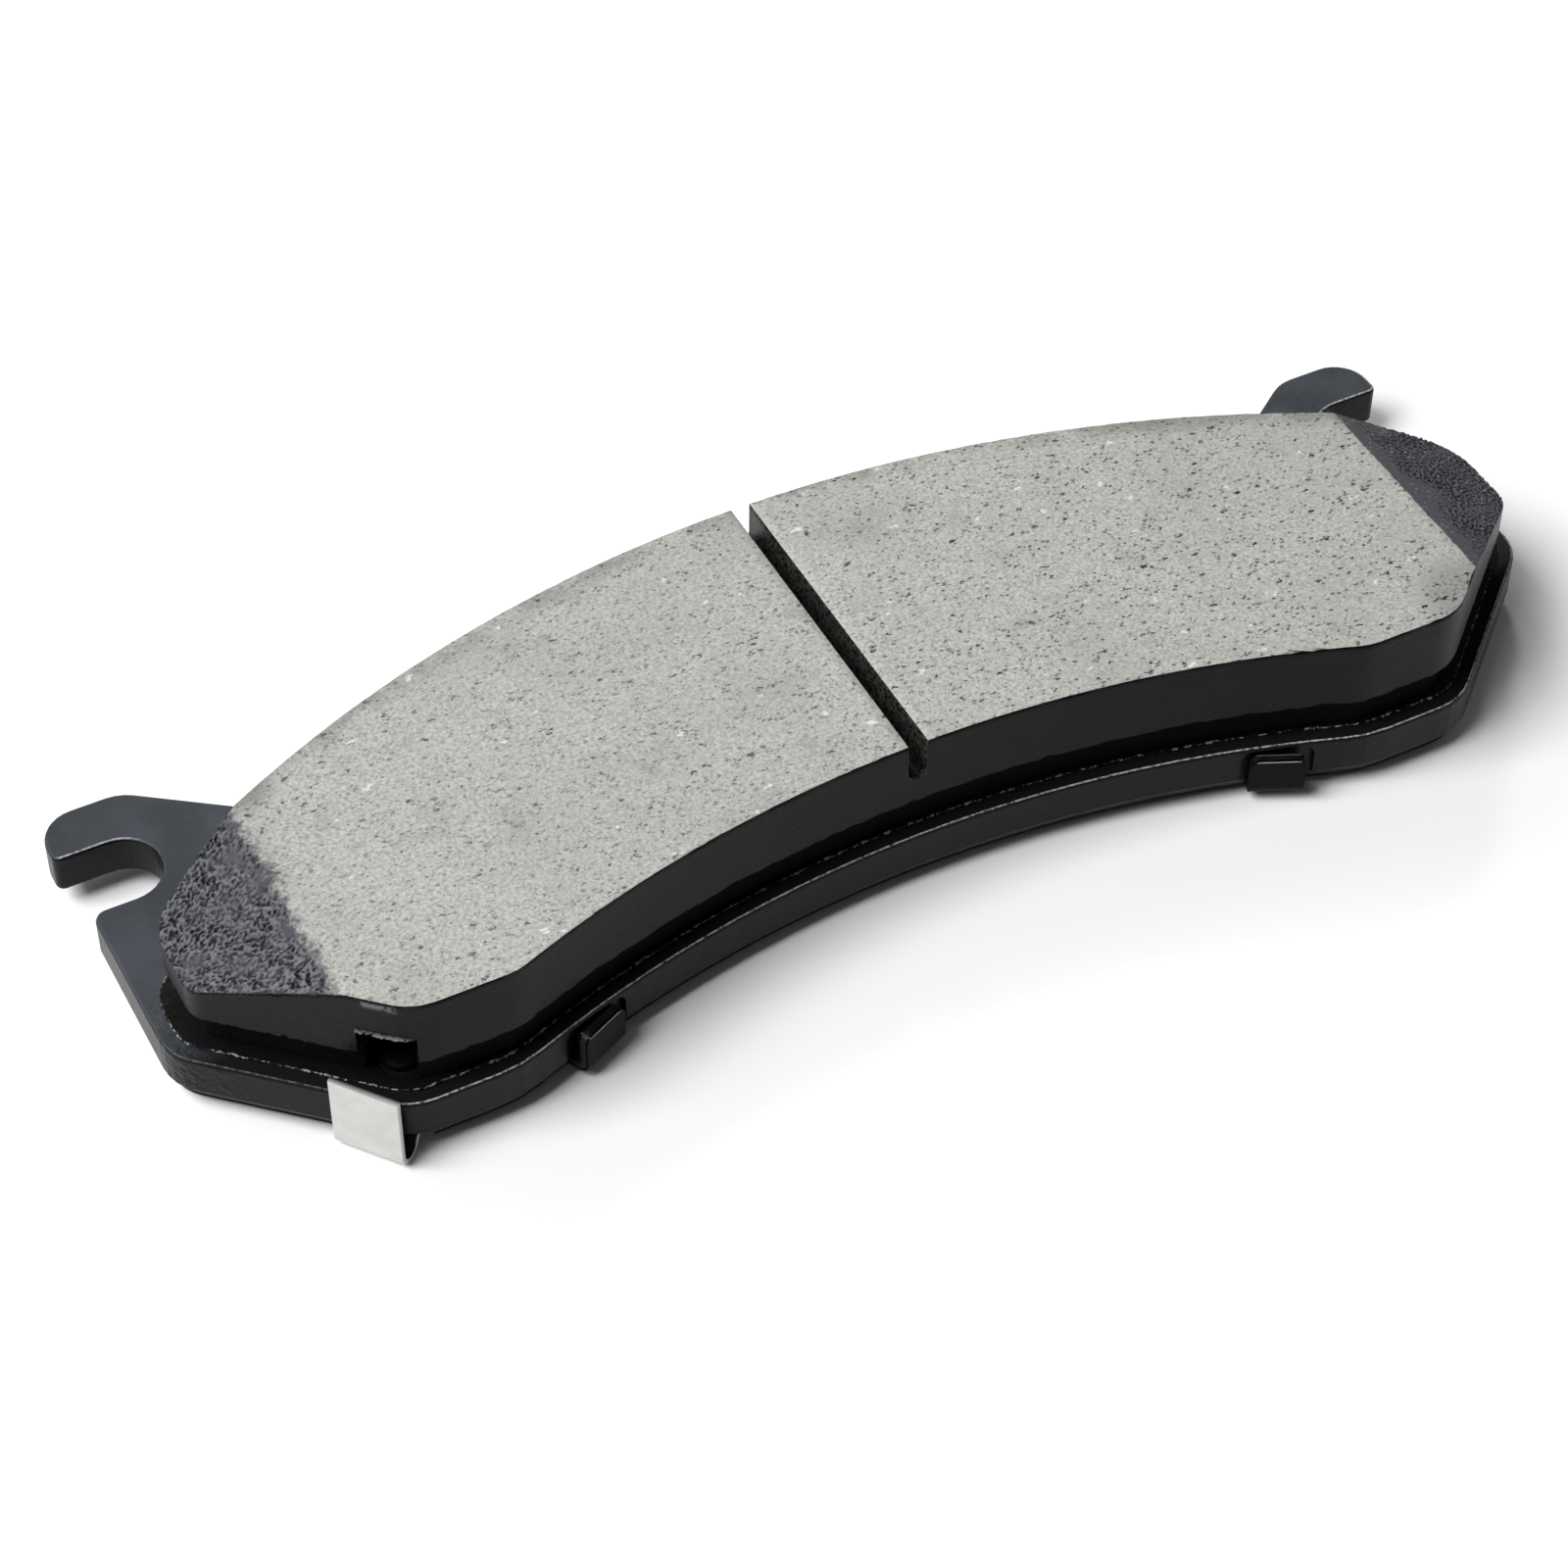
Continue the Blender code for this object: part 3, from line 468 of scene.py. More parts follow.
def make_friction_block(look):
    """Face, chamfers and slot as one sheet over (station, share of width), walls hung from its rim.

    The sheet's height follows the lengthways section; its width runs from the inner to the outer
    outline. A wall point is its rim point lowered by a share of the height, and inside the pocket's
    mouth it is carried back to a half circle round the rivet. Smooth noise wears the rim and moves
    the groove under it, the pocket's ceiling and the wall's foot. Four attributes are for the
    material: ground marks the sheet, below_rim the millimetres under the rim, where a painted
    shadow line lies, a third the burrs and a streak above the pocket, drawn pale partly as
    unpainted compound and partly as painted highlight and glints, and pit the depth of the
    hammered skin, whose pits are drawn black as painted shade.
    """
    half = block_half()
    turn = int(np.argmax(half.real >= half.real.max() - 1e-9))
    far = len(half) - 1 - int(np.argmax(half.real[::-1] >= half.real.max() - 1e-9))
    half_x, half_z = face_section()
    x, z = with_pocket_columns(
        np.concatenate([-half_x[:0:-1], half_x]),
        np.concatenate([half_z[:0:-1], half_z]),
    )
    low = np.interp(abs(x), half.real[: turn + 1], half.imag[: turn + 1])
    high = np.interp(abs(x), half.real[far:][::-1], half.imag[far:][::-1])
    share = np.linspace(0, 1, WIDTH_STATIONS)
    sheet_x = np.repeat(x[:, None], len(share), axis=1)
    sheet_y = low[:, None] + (high - low)[:, None] * share
    depth = chamfer_relief(sheet_x, sheet_y)
    sheet_z = z[:, None] - np.where(abs(sheet_x) > SLOT_RADIUS * 1.2, depth, 0)
    sheet_z = np.minimum(sheet_z, FACE_Z)

    index = np.arange(sheet_x.size).reshape(sheet_x.shape)
    ring = block_ring(index)
    rim = sheet_x.ravel()[ring] + 1j * sheet_y.ravel()[ring]
    rim_z = sheet_z.ravel()[ring]
    ragged = band_noise(14, 4 * MM, 0.7 * MM)
    chips = np.clip(ragged(rim.real * 1.7, rim.imag * 1.7 + 9 * MM), 0, None)
    worn = EDGE_BREAK * (1 + 1.2 * chips)
    sheet_y.ravel()[ring] = (rim - worn * outward(rim)).imag
    foot_z = BLOCK_LOW.z + FOOT_UNEVENNESS * np.clip(ragged(rim.real, rim.imag) + 0.6, 0, None)
    centre, out = indicator_place()
    local = (rim - centre) / out
    in_pocket = (abs(local.imag) < POCKET_RADIUS) & (local.real > 0) & (rim.imag < 0)
    ripple = ragged(rim.real * 2, rim.imag * 2)
    ceiling = BLOCK_LOW.z + POCKET_HEIGHT + CEILING_UNEVENNESS * ripple
    shelf = np.minimum(ceiling, foot_z + 0.6 * (rim_z - foot_z))
    upper = np.concatenate([[0, 0.022, 0.05], 1 - (1 - np.linspace(0, 1, 12)[1:]) ** 1.6])
    lower = np.linspace(0, 1, 7)
    brow, lip = rim_z - 0.5 * worn, shelf - POCKET_LIP
    upper_z = brow - (brow - shelf) * upper[:, None]
    lower_z = lip - (lip - foot_z) * lower[:, None]
    wall_z = np.concatenate([upper_z, lower_z])
    back = -np.sqrt(np.clip(POCKET_RADIUS**2 - local.imag**2, 0, None))
    deep = centre + (back + 1j * local.imag) * out
    wall = np.repeat(rim[None, :], len(wall_z), axis=0)
    wall[1] -= outward(rim) * RIM_GROOVE * np.clip(1.6 + ripple, 0.3, 3)
    burr = np.clip(0.4 + 0.12 * ragged(rim.real * 1.5, rim.imag * 1.5), 0.1, 0.7) * MM
    for row, push in ((len(upper) - 1, 1.0), (len(upper) - 2, 0.8)):
        wall[row, in_pocket] += (push * burr * out)[in_pocket]
    wall[len(upper) :, in_pocket] = deep[in_pocket]

    sheet = np.stack([sheet_x, sheet_y, sheet_z], axis=-1).reshape(-1, 3)
    walls = np.stack([wall.real, wall.imag, wall_z], axis=-1).reshape(-1, 3)
    rows = np.concatenate([ring[None, :], sheet_x.size + np.arange(wall.size).reshape(wall.shape)])
    faces = grid_faces(index)
    faces += grid_faces(rows, wrap_columns=True)
    faces.append(rows[-1][::-1].tolist())
    points = np.concatenate([sheet, walls])
    block = add_piece("friction_block_ground", points, faces, look, "friction_block")
    ground = smooth_step(sheet_z, FACE_Z - CHAMFER_DROP - 1 * MM, FACE_Z - CHAMFER_DROP - 0.5 * MM)
    ground *= abs(sheet_x) > SLOT_RADIUS + 1.5 * SLOT_WALL_LEAN
    below = np.concatenate([np.zeros(sheet_x.size), (rim_z - wall_z).ravel()])
    tag_points(block, "ground", np.concatenate([ground.ravel(), np.zeros(wall.size)]))
    tag_points(block, "below_rim", below / MM)
    bare_and_glint = np.zeros(wall.shape)
    # The burr rows are drawn pale, partly as unpainted compound and partly as a painted highlight on the lit
    # lip; row 3, above the pocket, is a painted glint streak.
    bare_and_glint[len(upper) - 2 : len(upper), in_pocket] = 1
    bare_and_glint[3] = (abs(local.imag) < 0.7 * POCKET_RADIUS) & (local.real > 0) & (rim.imag < 0)
    tag_points(block, "bare_and_glint", np.concatenate([np.zeros(sheet_x.size), bare_and_glint.ravel()]))
    tag_points(block, "pit", np.concatenate([(depth / FULL_PIT).ravel(), np.zeros(wall.size)]))
    return block


# ---- the squeezed-out bead of the bond film ----


def make_film_bead(look):
    """A thin roll carried round the film's edge, its size and place wandering with smooth noise."""
    loop = even_loop(body_loop(FILM_INSET), BEAD_SPACING)
    wander = band_noise(21, 12 * MM, 1.2 * MM)
    thickness = (FILM_HIGH.z - FILM_LOW.z) / 2
    radius = thickness * (1 + 0.22 * np.clip(wander(loop.real, loop.imag), -1.5, 1.5))
    path = loop + outward(loop) * BEAD_WANDER * wander(loop.real + 20 * MM, loop.imag)
    angle = np.linspace(0, 2 * math.pi, 10, endpoint=False)
    ring = path[:, None] + outward(loop)[:, None] * radius[:, None] * np.cos(angle)
    height = FILM_LOW.z + thickness + radius[:, None] * np.sin(angle)
    points = np.stack([ring.real, ring.imag, height], axis=-1)
    index = np.arange(ring.size).reshape(ring.shape)
    faces = grid_faces(index, wrap_rows=True, wrap_columns=True)
    return add_piece("bond_film_bead", points, faces, look)


# ---- the wear indicator ----


def strip_path():
    """Middle line of the strip: foot, dip, curl and upright leg, as (distance out, height, heading)."""
    half = STRIP_THICKNESS / 2
    foot_z = PLATE_LOW.z - SEAT_GAP - half
    lowest = STRIP_LOW.z + half
    dip = math.acos(1 - (foot_z - lowest) / (CURL_RADIUS + FOOT_BEND_RADIUS))
    swing = STRIP_WIDTH / 2 * math.tan(STRIP_TURN)
    leg_u = RIVET_INSIDE_EDGE / math.cos(STRIP_TURN) + swing + SEAT_GAP + half
    curl_u = leg_u - CURL_RADIUS
    bend_u = curl_u - (CURL_RADIUS + FOOT_BEND_RADIUS) * math.sin(dip)
    down = np.linspace(0, dip, 8)
    up = np.linspace(-dip, math.pi / 2, 32)[1:]
    leg_z = np.linspace(lowest + CURL_RADIUS, STRIP_HIGH.z, 10)[1:]
    foot_u = np.linspace(-FOOT_BEYOND_RIVET, bend_u, 12)[:-1]
    u = np.concatenate(
        [
            foot_u,
            bend_u + FOOT_BEND_RADIUS * np.sin(down),
            curl_u + CURL_RADIUS * np.sin(up),
            np.full(len(leg_z), leg_u),
        ]
    )
    z = np.concatenate(
        [
            np.full(len(foot_u), foot_z),
            foot_z - FOOT_BEND_RADIUS * (1 - np.cos(down)),
            lowest + CURL_RADIUS * (1 - np.cos(up)),
            leg_z,
        ]
    )
    heading = np.concatenate([np.zeros(len(foot_u)), -down, up, np.full(len(leg_z), math.pi / 2)])
    return u, z, heading


def rounded_section(width, thickness, radius, count=5):
    """A flat bar's section: four quarter circles joined by straight sides, anticlockwise."""
    quarter = np.exp(1j * np.linspace(0, math.pi / 2, count)) * radius
    corner = complex(width / 2 - radius, thickness / 2 - radius)
    corners = [corner, -corner.conjugate(), -corner, corner.conjugate()]
    return np.concatenate([place + quarter * 1j**k for k, place in enumerate(corners)])


def make_wear_indicator(look):
    """The flat bar's section carried along the strip's path and set over the plate's edge."""
    u, z, heading = strip_path()
    section = rounded_section(STRIP_WIDTH, STRIP_THICKNESS, STRIP_EDGE_ROUND)
    across, through = section.real, section.imag
    reach = u[:, None] - through * np.sin(heading)[:, None]
    height = z[:, None] + through * np.cos(heading)[:, None]
    burr = band_noise(31, 3 * MM, 0.6 * MM)(across, through * 3)
    height[-1] -= STRIP_TIP_BURR * np.clip(burr + 1, 0, 3)
    centre, out = indicator_place()
    out *= complex(math.cos(STRIP_TURN), -math.sin(STRIP_TURN))
    plan = centre + out * (reach + 1j * across)
    points = np.stack([plan.real, plan.imag, height], axis=-1)
    index = np.arange(plan.size).reshape(plan.shape)
    faces = [face[::-1] for face in grid_faces(index, wrap_columns=True)]
    faces += [index[0][::-1].tolist(), index[-1].tolist()]
    crease = math.radians(40)
    strip = add_piece("wear_indicator_strip", points, faces, look, "wear_indicator", crease)
    inner = through > 0.5 * STRIP_THICKNESS - 0.9 * STRIP_EDGE_ROUND
    tag_points(strip, "inner", np.repeat(inner[None, :], len(u), axis=0))
    return strip


# ---- node helpers ----


def put(tree, kind, inputs=None, **settings):
    """A node with its settings; an input is a plain value or another node's output."""
    made = tree.nodes.new(kind)
    for name, value in settings.items():
        setattr(made, name, value)
    for name, value in (inputs or {}).items():
        if isinstance(value, bpy.types.NodeSocket):
            tree.links.new(value, made.inputs[name])
        else:
            made.inputs[name].default_value = value
    return made


def math_node(tree, operation, first, second=0.0, third=0.0):
    inputs = {0: first, 1: second, 2: third}
    return put(tree, "ShaderNodeMath", inputs, operation=operation).outputs[0]


def product(tree, first, second):
    """first times second."""
    return math_node(tree, "MULTIPLY", first, second)


def vector_node(tree, operation, first, second):
    """The new vector, or for DISTANCE and DOT_PRODUCT the number."""
    node = put(tree, "ShaderNodeVectorMath", {0: first, 1: second}, operation=operation)
    return node.outputs["Value" if operation in ("DISTANCE", "DOT_PRODUCT") else "Vector"]


def component(tree, vector, axis):
    """A vector's x, y or z, for axis 0, 1 or 2."""
    return put(tree, "ShaderNodeSeparateXYZ", {0: vector}).outputs[axis]


def ramp(tree, value, low, high, to_low=0.0, to_high=1.0):
    """value from low..high eased to to_low..to_high."""
    inputs = {"Value": value, "From Min": low, "From Max": high, "To Min": to_low, "To Max": to_high}
    return put(tree, "ShaderNodeMapRange", inputs, interpolation_type="SMOOTHSTEP").outputs[0]


def blend(tree, share, first, second):
    """Colour first where share is 0 and second where it is 1."""
    inputs = {0: share, 6: first, 7: second}
    return put(tree, "ShaderNodeMix", inputs, data_type="RGBA").outputs[2]


def mix(tree, share, first, second):
    """Number first where share is 0 and second where it is 1."""
    return put(tree, "ShaderNodeMix", {0: share, 2: first, 3: second}).outputs[0]


def object_coordinates(tree):
    return put(tree, "ShaderNodeTexCoord").outputs["Object"]


def surface_normal(tree):
    return put(tree, "ShaderNodeTexCoord").outputs["Normal"]


def attribute(tree, name):
    return put(tree, "ShaderNodeAttribute", attribute_name=name).outputs["Fac"]


def noise(tree, place, size, detail=2.0, roughness=0.5):
    """Smooth noise whose lumps are about size across."""
    inputs = {"Vector": place, "Scale": 1 / size, "Detail": detail, "Roughness": roughness}
    return put(tree, "ShaderNodeTexNoise", inputs).outputs[0]


def stretched(tree, place, turn, scale):
    """Coordinates turned about Z and scaled, so that a pattern on them runs long in one direction."""
    inputs = {"Vector": place, "Rotation": (0, 0, turn), "Scale": scale}
    return put(tree, "ShaderNodeMapping", inputs).outputs[0]


def new_group(name, inputs, outputs):
    """An empty node group with its sockets, and its input and output nodes."""
    group = bpy.data.node_groups.new(name, "ShaderNodeTree")
    for label, kind, value in inputs:
        socket = group.interface.new_socket(label, in_out="INPUT", socket_type=kind)
        if value is not None:
            socket.default_value = value
    for label, kind in outputs:
        group.interface.new_socket(label, in_out="OUTPUT", socket_type=kind)
    return group, put(group, "NodeGroupInput"), put(group, "NodeGroupOutput")


def use_group(tree, group, inputs):
    return put(tree, "ShaderNodeGroup", inputs, node_tree=group).outputs


def flecks_group():
    """Flecks: in each cell of a scattered pattern a spot, kept only where the cell's own number is low.

    A spot's edge lies where the distance to the cell's centre passes Reach, each spot with its own
    share of it, and Share is the part of the cells that have one. The place is first pushed about
    by noise, which makes the spots ragged.
    """
    group, given, result = new_group(
        "flecks",
        [
            ("Place", "NodeSocketVector", None),
            ("Size", "NodeSocketFloat", 0.001),
            ("Share", "NodeSocketFloat", 0.3),
            ("Reach", "NodeSocketFloat", 0.3),
        ],
        [("Mask", "NodeSocketFloat")],
    )
    scale = math_node(group, "DIVIDE", 1.0, given.outputs["Size"])
    place = given.outputs["Place"]
    inputs = {"Vector": place, "Scale": product(group, scale, 2.2), "Detail": 1.0}
    wobble = put(group, "ShaderNodeTexNoise", inputs).outputs["Color"]
    centred = vector_node(group, "SUBTRACT", wobble, (0.5, 0.5, 0.5))
    inputs = {0: centred, "Scale": product(group, given.outputs["Size"], 1.1)}
    pushed = put(group, "ShaderNodeVectorMath", inputs, operation="SCALE").outputs[0]
    ragged = vector_node(group, "ADD", place, pushed)
    cells = put(group, "ShaderNodeTexVoronoi", {"Vector": ragged, "Scale": scale})
    number = put(group, "ShaderNodeSeparateColor", {0: cells.outputs["Color"]})
    kept = math_node(group, "LESS_THAN", number.outputs[0], given.outputs["Share"])
    own = ramp(group, number.outputs[1], 0, 1, 0.5, 1.2)
    own_reach = product(group, given.outputs["Reach"], own)
    spot = ramp(group, cells.outputs["Distance"], own_reach, product(group, own_reach, 0.45))
    group.links.new(product(group, spot, kept), result.inputs["Mask"])
    return group


def coat_group():
    """Sprayed coat: orange-peel height, a slow cloudiness and fine dust-sized grain."""
    group, given, result = new_group(
        "sprayed_coat",
        [
            ("Place", "NodeSocketVector", None),
            ("Peel Size", "NodeSocketFloat", 0.001),
            ("Grain Size", "NodeSocketFloat", 0.0002),
            ("Cloud Size", "NodeSocketFloat", 0.01),
        ],
        [("Height", "NodeSocketFloat"), ("Cloud", "NodeSocketFloat"), ("Grain", "NodeSocketFloat")],
    )
    sizes = {}
    for label in ("Peel Size", "Grain Size", "Cloud Size"):
        scale = math_node(group, "DIVIDE", 1.0, given.outputs[label])
        inputs = {"Vector": given.outputs["Place"], "Scale": scale, "Detail": 2.0}
        sizes[label] = put(group, "ShaderNodeTexNoise", inputs).outputs[0]
    fine = product(group, sizes["Grain Size"], 0.25)
    group.links.new(math_node(group, "ADD", sizes["Peel Size"], fine), result.inputs["Height"])
    group.links.new(sizes["Cloud Size"], result.inputs["Cloud"])
    group.links.new(sizes["Grain Size"], result.inputs["Grain"])
    return group


FLECKS = flecks_group()
COAT = coat_group()


def flecks_on(tree, place, size, share, reach):
    return use_group(tree, FLECKS, {"Place": place, "Size": size, "Share": share, "Reach": reach})[0]


def coat_on(tree, place, peel, grain, cloud):
    sizes = {"Peel Size": peel, "Grain Size": grain, "Cloud Size": cloud}
    return use_group(tree, COAT, {"Place": place, **sizes})


def new_look(name, **plain):
    """A material and its Principled shader, with plain values on the shader's own sockets."""
    look = bpy.data.materials.new(name)
    look.use_nodes = True
    shader = look.node_tree.nodes["Principled BSDF"]
    for label, value in plain.items():
        shader.inputs[label.replace("_", " ")].default_value = value
    return look, look.node_tree, shader


def bump(tree, shader, height, depth):
    """Raises the surface by height times depth."""
    node = put(tree, "ShaderNodeBump", {"Height": height, "Strength": 1.0, "Distance": depth})
    tree.links.new(node.outputs[0], shader.inputs["Normal"])


# ---- looks ----


def near_spot(tree, place, spot, radius):
    """1 at spot easing to 0 at radius from it, measured in plan."""
    flat = vector_node(tree, "MULTIPLY", place, (1, 1, 0))
    away = vector_node(tree, "DISTANCE", flat, (spot.real, spot.imag, 0))
    return ramp(tree, away, radius, 0.3 * radius)


def stone_colour(tree, place, mottle, flecks):
    """Ground compound: mottled grey, greyer clouds, dirt along the outer edge, dark and pale flecks."""
    cloud = noise(tree, place, 16 * MM, 3.0)
    grime = noise(tree, place, 7 * MM, 4.0, 0.6)
    stone = blend(tree, ramp(tree, mottle, 0.3, 0.7), STONE_DARK, STONE_PALE)
    stone = blend(tree, ramp(tree, cloud, 0.3, 0.75, 0.0, 0.4), stone, STONE_CLOUD)
    stone = blend(tree, ramp(tree, grime, 0.55, 0.8, 0.0, 0.45), stone, STONE_GRIME)
    radius = bow_radius(HALF_LENGTH, OUTER_BOW_DROP)
    away = vector_node(tree, "DISTANCE", place, (0, OUTER_Y - radius, FACE_Z))
    outer = ramp(tree, away, radius - 4 * MM, radius)
    rubbed = product(tree, outer, ramp(tree, grime, 0.35, 0.6))
    stone = blend(tree, product(tree, rubbed, 0.6), stone, RUBBED_EDGE)
    corner = near_spot(tree, place, complex(CORNER_X + 3 * MM, FLAT_Y + 2 * MM), 9 * MM)
    corner = product(tree, corner, ramp(tree, mottle, 0.4, 0.6, 0.15, 0.8))
    stone = blend(tree, corner, stone, SMUDGED_CORNER)
    spread = ramp(tree, component(tree, place, 0), -70 * MM, 60 * MM)
    for mask, (least, most), shade in zip(flecks, FLECK_STRENGTHS, FLECK_SHADES):
        share = product(tree, mask, ramp(tree, spread, 0, 1, least, most))
        stone = blend(tree, share, stone, (*shade, 1))
    return stone


def chamfer_colour(tree, place, cloud, plus_end):
    """Sprayed grey, drawn black in the pits as painted shade, clouded, darker at the +X end, with small pale
    flecks as painted glints.
    """
    # Painted shade: the deeper the pit, the nearer black.
    sprayed = blend(tree, ramp(tree, attribute(tree, "pit"), -1.2, 0.9), CHAMFER_HIGH, CHAMFER_PIT_SHADE)
    sprayed = blend(tree, ramp(tree, cloud, 0.3, 0.7, 0.0, 0.3), sprayed, CHAMFER_CLOUD)
    sprayed = blend(tree, product(tree, plus_end, 0.4), sprayed, CHAMFER_RIGHT)
    # Painted glints: small pale flecks standing for sparkle on the relief.
    glint = flecks_on(tree, place, 0.55 * MM, 0.22, 0.4)
    glint = product(tree, glint, ramp(tree, plus_end, 0, 1, 0.35, 0.7))
    return blend(tree, glint, sprayed, CHAMFER_PAINTED_GLINT)


def side_colour(tree, place, cloud, mottle, reach):
    """Black walls: a painted shadow line under the rim, torn compound in the slot drawn near-black as
    painted shade, and pale burrs and a streak above the pocket, partly unpainted compound and partly painted
    highlight and glints.
    """
    side = blend(tree, ramp(tree, cloud, 0.3, 0.7), WALL_DARK, WALL_PALE)
    # Painted shadow: the top of the wall drawn blacker just under the rim.
    side = blend(tree, ramp(tree, attribute(tree, "below_rim"), 0.2, 0.4), RIM_SHADOW_LINE, side)
    # Painted shade in the slot: its torn compound drawn near-black.
    torn = blend(tree, ramp(tree, mottle, 0.4, 0.65), TORN_SHADE_DARK, TORN_SHADE_PALE)
    in_slot = math_node(tree, "LESS_THAN", reach, SLOT_RADIUS + 0.07 * MM)
    high = math_node(tree, "GREATER_THAN", component(tree, place, 2), FACE_Z - SLOT_DEPTH)
    side = blend(tree, product(tree, in_slot, high), side, torn)
    # Pale patches: partly unpainted compound on the burrs, partly painted highlight and a painted glint
    # streak above the pocket.
    patch = ramp(tree, noise(tree, place, 1.3 * MM, 3.0, 0.6), 0.36, 0.5)
    return blend(tree, product(tree, attribute(tree, "bare_and_glint"), patch), side, BARE_BURR_AND_GLINT)


def wandering(tree, wave, amount, base):
    """base shifted by a smooth noise that is centred on 0 and amount wide."""
    return math_node(tree, "MULTIPLY_ADD", math_node(tree, "SUBTRACT", wave, 0.5), amount, base)


def friction_look():
    """Ground compound on the face, sprayed grey on chamfers and walls, with a wandering border."""
    look, tree, shader = new_look("ground_friction_compound", IOR=1.42, Specular_IOR_Level=0.16)
    place = object_coordinates(tree)
    drawn = stretched(tree, place, GRAIN_TURN, (0.62, 1.0, 1.0))
    flecks = [flecks_on(tree, drawn, size * MM, share, reach) for size, share, reach in FLECK_KINDS]
    mottle = noise(tree, place, 0.5 * MM, 4.0, 0.7)
    coat = coat_on(tree, place, 0.6 * MM, 0.15 * MM, 5 * MM)
    plus_end = math_node(tree, "GREATER_THAN", component(tree, place, 0), 0.0)
    reach = math_node(tree, "ABSOLUTE", component(tree, place, 0))
    ground = attribute(tree, "ground")
    stone = stone_colour(tree, place, mottle, flecks)
    sprayed = chamfer_colour(tree, place, coat["Cloud"], plus_end)
    side = side_colour(tree, place, coat["Cloud"], mottle, reach)
    paint = blend(tree, ramp(tree, ground, 0.3, 0.7), side, sprayed)

    wander = noise(tree, place, 1.1 * MM, 3.0, 0.7)
    drift = noise(tree, place, 9 * MM, 1.0)
    shifted = wandering(tree, drift, 3 * MM, wandering(tree, wander, 4.2 * MM, reach))
    soft = ramp(tree, shifted, CHAMFER_X - 0.8 * MM, CHAMFER_X + 1.2 * MM)
    edge = wandering(tree, wander, 0.8 * MM, reach)
    crisp = ramp(tree, edge, CHAMFER_X - 0.15 * MM, CHAMFER_X + 0.25 * MM)
    covered = mix(tree, plus_end, soft, crisp)
    covered = math_node(tree, "MAXIMUM", covered, ramp(tree, ground, 0.7, 0.3))
    tree.links.new(blend(tree, covered, stone, paint), shader.inputs["Base Color"])

    stone_rough = ramp(tree, mottle, 0.3, 0.7, 0.95, 0.8)
    paint_rough = ramp(tree, coat["Grain"], 0.3, 0.7, 0.28, 0.42)
    tree.links.new(mix(tree, covered, stone_rough, paint_rough), shader.inputs["Roughness"])
    holes = math_node(tree, "ADD", flecks[1], flecks[2])
    stone_height = math_node(tree, "SUBTRACT", product(tree, mottle, 0.5), holes)
    bump(tree, shader, mix(tree, covered, stone_height, coat["Height"]), 0.05 * MM)
    return look


def plate_look():
    """Satin blue-grey coat on the flats; a near-black copy of the coat on the sides as painted shade, and a
    painted highlight along the front-facing top edges.

    The flat towards the inner edge lies in the block's shade, which is painted in: there the coat is drawn
    near-black and made dull.
    """
    look, tree, shader = new_look("powder_coat", IOR=1.42, Specular_IOR_Level=0.2)
    place = object_coordinates(tree)
    normal = surface_normal(tree)
    up = component(tree, normal, 2)
    coat = coat_on(tree, place, 1.3 * MM, 0.2 * MM, 9 * MM)
    # Painted highlight: a pale, broken line on the top edge where it faces the front.
    above = ramp(tree, component(tree, place, 2), PLATE_HIGH.z - 0.11 * MM, PLATE_HIGH.z - 0.05 * MM)
    slanted = ramp(tree, up, 0.98, 0.9)
    frontal = ramp(tree, vector_node(tree, "DOT_PRODUCT", normal, (0.6, -0.8, 0.0)), 0, 0.25)
    broken = ramp(tree, noise(tree, place, 0.7 * MM, 4.0, 0.7), 0.32, 0.6)
    edge = product(tree, product(tree, product(tree, above, slanted), broken), frontal)
    grey = blend(tree, ramp(tree, coat["Cloud"], 0.3, 0.7), COAT_DARK, COAT_PALE)
    grey = blend(tree, ramp(tree, coat["Grain"], 0.55, 0.8, 0.0, 0.35), grey, COAT_GRAIN)
    # Painted shade: the same coat drawn near-black where the surface faces sideways or lies in the block's
    # shade.
    dark = blend(tree, ramp(tree, coat["Grain"], 0.3, 0.7), COAT_SHADE_DARK, COAT_SHADE_PALE)
    kink_y = END_TOP_Y - END_WALL
    shaded = ramp(tree, component(tree, place, 1), kink_y + 2 * MM, kink_y - 4 * MM)
    upward = ramp(tree, up, 0.3, 0.85)
    lit = product(tree, upward, math_node(tree, "SUBTRACT", 1.0, shaded))
    grey = blend(tree, lit, dark, grey)
    colour = blend(tree, product(tree, edge, 0.9), grey, PAINTED_EDGE_HIGHLIGHT)
    tree.links.new(colour, shader.inputs["Base Color"])
    dull = product(tree, shaded, ramp(tree, up, 0.3, 0.85, 0.0, 0.9))
    rough = math_node(tree, "MAXIMUM", ramp(tree, coat["Grain"], 0.3, 0.7, 0.3, 0.42), dull)
    tree.links.new(rough, shader.inputs["Roughness"])
    wrinkled = near_spot(tree, place, complex(-HALF_LENGTH - 1 * MM, kink_y + 2 * MM), 13 * MM)
    wrinkle = product(tree, noise(tree, place, 0.9 * MM, 2.0), product(tree, wrinkled, 4))
    bump(tree, shader, math_node(tree, "ADD", coat["Height"], wrinkle), 0.05 * MM)
    return look


